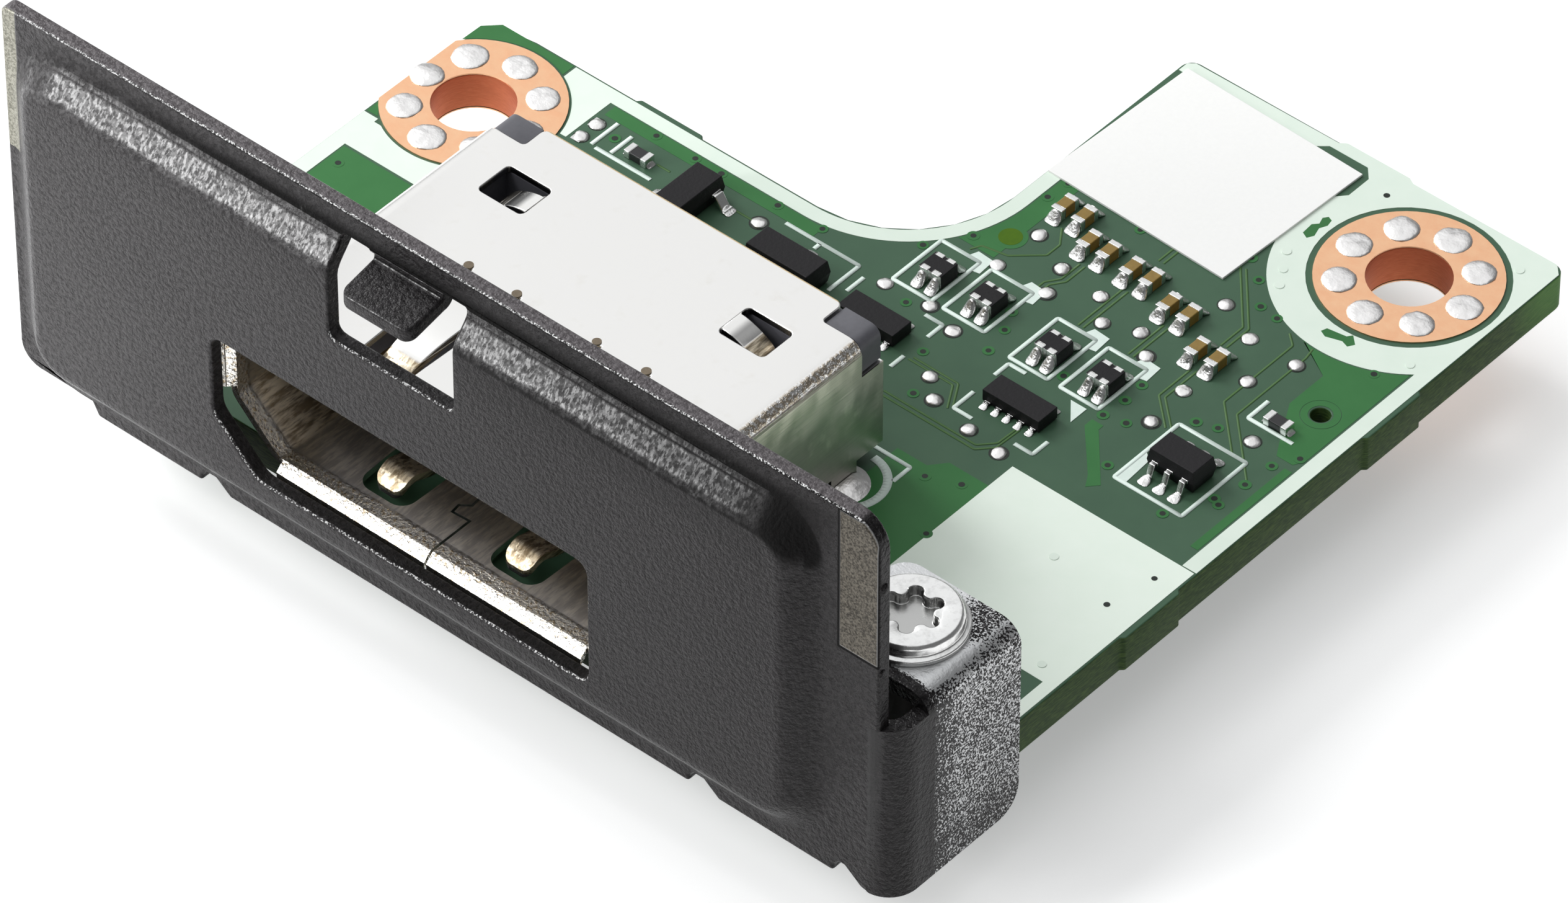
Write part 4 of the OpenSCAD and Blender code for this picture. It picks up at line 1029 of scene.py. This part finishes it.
# a mark at each choke's rear right corner, and a wedge beside an array and beside the six-lead package
tag = [(-0.55, 0.0), (-0.4, 0.4), (0.3, 0.35), (0.35, -0.45), (0.05, -0.5), (0.0, -0.05)]
tags = [[(right + x, far + y) for x, y in tag] for _, _, right, far in choke_boxes]
wedges = [
    [(11.5, 19.85), (12.2, 19.0), (12.2, 19.85)],
    [(15.03, 17.95), (15.5, 17.95), (15.42, 19.3), (15.03, 19.6)],
]
plates("print_marks", tags + wedges, MARK_T, ink)
plates("test_pads", [box(-10.2, 19.55, -9.8, 20.05), box(-10.2, 18.65, -9.8, 19.15)], PAD_T, tin)

mask_vias = [
    (4.3, 27.2), (4.4, 28.2), (3.65, 24.0), (2.65, 22.5), (7.15, 21.9), (7.55, 21.05), (4.1, 19.9),
    (7.8, 19.9), (10.55, 20.6), (12.9, 21.05), (12.85, 22.0), (12.5, 28.7), (13.4, 27.7), (14.2, 27.6),
    (18.45, 27.6), (7.8, 28.0), (13.65, 20.2), (12.8, 20.0), (15.4, 21.8), (16.15, 22.05), (14.5, 18.2),
    (18.7, 21.8), (18.6, 20.5), (18.55, 19.15), (18.25, 19.3), (17.4, 17.6), (19.2, 22.7), (11.6, 29.4),
    (6.15, 18.4), (7.25, 16.6), (12.05, 11.65), (11.4, 14.25), (10.2, 13.75), (-8.0, 20.7), (-6.2, 20.7),
    (-5.0, 20.7), (-2.45, 20.75), (-0.5, 20.85), (-9.0, 19.65), (-15.4, 12.4),
]
plane_vias = [(19.2, 15.0), (18.8, 13.0), (13.1, 34.95)]
covered_vias = [
    (12.3, 30.45), (12.8, 29.65), (13.2, 28.95), (18.95, 34.95), (19.1, 28.75), (16.0, 13.6), (19.0, 9.4),
]
test_places = [place[:2] for place in solids_of("test_point_dots")]
discs("via_lands", mask_vias, radius=0.22, top=0.016, material=pour, seed=4)
# dark discs of painted shade stand for the open via holes
discs("via_holes", mask_vias + plane_vias, radius=0.11, top=0.02, material=shade, seed=6)
discs("covered_vias", covered_vias, radius=0.17, top=0.035, material=plane_edge, seed=12)
discs("test_rims", test_places, radius=0.34, top=0.009, material=shade, seed=9)


# Small marks on the shell and the bracket

weld = plain_finish("weld_mark", rgb(104, 92, 74), rgb(136, 122, 102), 0.4, 8.0, 0.03, 0.3)
weld_marks = [(x, 6.45) for x in (-3.75, -1.58, 2.0, 4.2)]
shell_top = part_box("connector_shell")[1].z
discs(
    "weld_marks", weld_marks, radius=0.17, top=0.07, material=weld, seed=14,
    level=shell_top, slot="shell_steel",
)


def paint_drop(name, middle, sizes):
    """A drop of paint that dried on an edge of the plate."""
    work = bmesh.new()
    scale = Matrix.Diagonal([size * MM for size in sizes] + [1.0])
    shape = Matrix.Translation(Vector(middle) * MM) @ scale
    bmesh.ops.create_icosphere(work, subdivisions=3, radius=1.0, matrix=shape)
    for face in work.faces:
        face.smooth = True
    mesh = bpy.data.meshes.new(name)
    work.to_mesh(mesh)
    work.free()
    keep(new_piece(name, mesh, FINISHES["bracket_paint"]), "bracket_paint")


plate_edge = 20.4
paint_drop("paint_drop_high", (plate_edge, -0.35, 8.3), (0.12, 0.22, 0.24))
paint_drop("paint_drop_low", (plate_edge, -0.4, 4.5), (0.08, 0.18, 0.26))


# Floor, light and camera

def stage():
    """A pale floor under the lowest point, with its background colour for the camera, gloss and glass."""
    f = Finish("pale_floor", (0.86, 0.86, 0.86), 0.9)
    seen = f.add("LightPath")
    glossy = Value(f, seen.socket.node.outputs["Is Glossy Ray"])
    through = Value(f, seen.socket.node.outputs["Is Transmission Ray"])
    f.set("Emission Strength", 0.35)
    f.set("Emission Color", f.mix(seen.most(glossy).most(through), (0, 0, 0), (1, 1, 1)))
    mesh = bpy.data.meshes.new("floor")
    half = 3.0
    level = cad_box[0][Z] - 0.2 * MM
    corners = [(-half, -half, level), (half, -half, level), (half, half, level), (-half, half, level)]
    mesh.from_pydata(corners, [], [(0, 1, 2, 3)])
    floor = new_piece("floor", mesh, f.material)


def lamp(name, at, aim, wide, high, power):
    """A soft rectangular lamp at a place, aimed at another, both in millimetres."""
    data = bpy.data.lights.new(name, "AREA")
    data.shape = "RECTANGLE"
    data.size = wide * MM
    data.size_y = high * MM
    data.energy = power
    light = bpy.data.objects.new(name, data)
    bpy.context.scene.collection.objects.link(light)
    light.location = Vector(at) * MM
    light.rotation_euler = (Vector(aim) - Vector(at)).to_track_quat("-Z", "Y").to_euler()


def lights():
    """A pale tent that is bright high on the left and dim low in front, and three soft lamps."""
    world = bpy.data.worlds.new("studio")
    bpy.context.scene.world = world
    world.use_nodes = True
    tent = Graph(world.node_tree)
    brightest = (-0.55, -0.1, 0.83)
    dim_side, bright_side, dim, bright = 0.36, 0.72, 0.16, 0.98
    direction = tent.add("TexCoord")
    toward = tent.add("VectorMath", {"operation": "DOT_PRODUCT"}, {0: direction, 1: brightest}, output=1)
    level = tent.add(
        "MapRange", {"interpolation_type": "SMOOTHSTEP"},
        {0: toward, 1: dim_side, 2: bright_side, 3: dim, 4: bright},
    )
    background = world.node_tree.nodes["Background"]
    tent.feed(background.inputs["Strength"], level)
    tent.feed(background.inputs["Color"], (0.98, 0.99, 1.0))
    middle = (1.5, 15.0, 2.0)
    lamp("behind_left", (-260, 40, 200), middle, 120, 120, 0.5)
    lamp("front_left", (-120, -190, 240), middle, 90, 90, 0.2)
    lamp("low_strip", (-165, -237, 88), middle, 95, 56, 0.52)


def camera():
    """The photograph's camera: a long lens, high on the front right."""
    heading, height, roll = (math.radians(angle) for angle in (40.961, 43.361, 0.039))
    place = Vector((189.81, -200.39, 261.90)) * MM
    focal_pixels = 18446.74
    data = bpy.data.cameras.new("camera")
    data.sensor_width = 36.0
    data.lens = focal_pixels * data.sensor_width / PHOTO_WIDTH
    data.clip_start = 0.01
    data.clip_end = 20.0
    eye = bpy.data.objects.new("camera", data)
    bpy.context.scene.collection.objects.link(eye)
    turn = Matrix.Rotation(heading, 4, "Z") @ Matrix.Rotation(math.pi / 2 - height, 4, "X")
    eye.matrix_world = Matrix.Translation(place) @ turn @ Matrix.Rotation(roll, 4, "Z")
    bpy.context.scene.camera = eye


stage()
lights()
camera()
bpy.context.scene.view_settings.view_transform = "Standard"
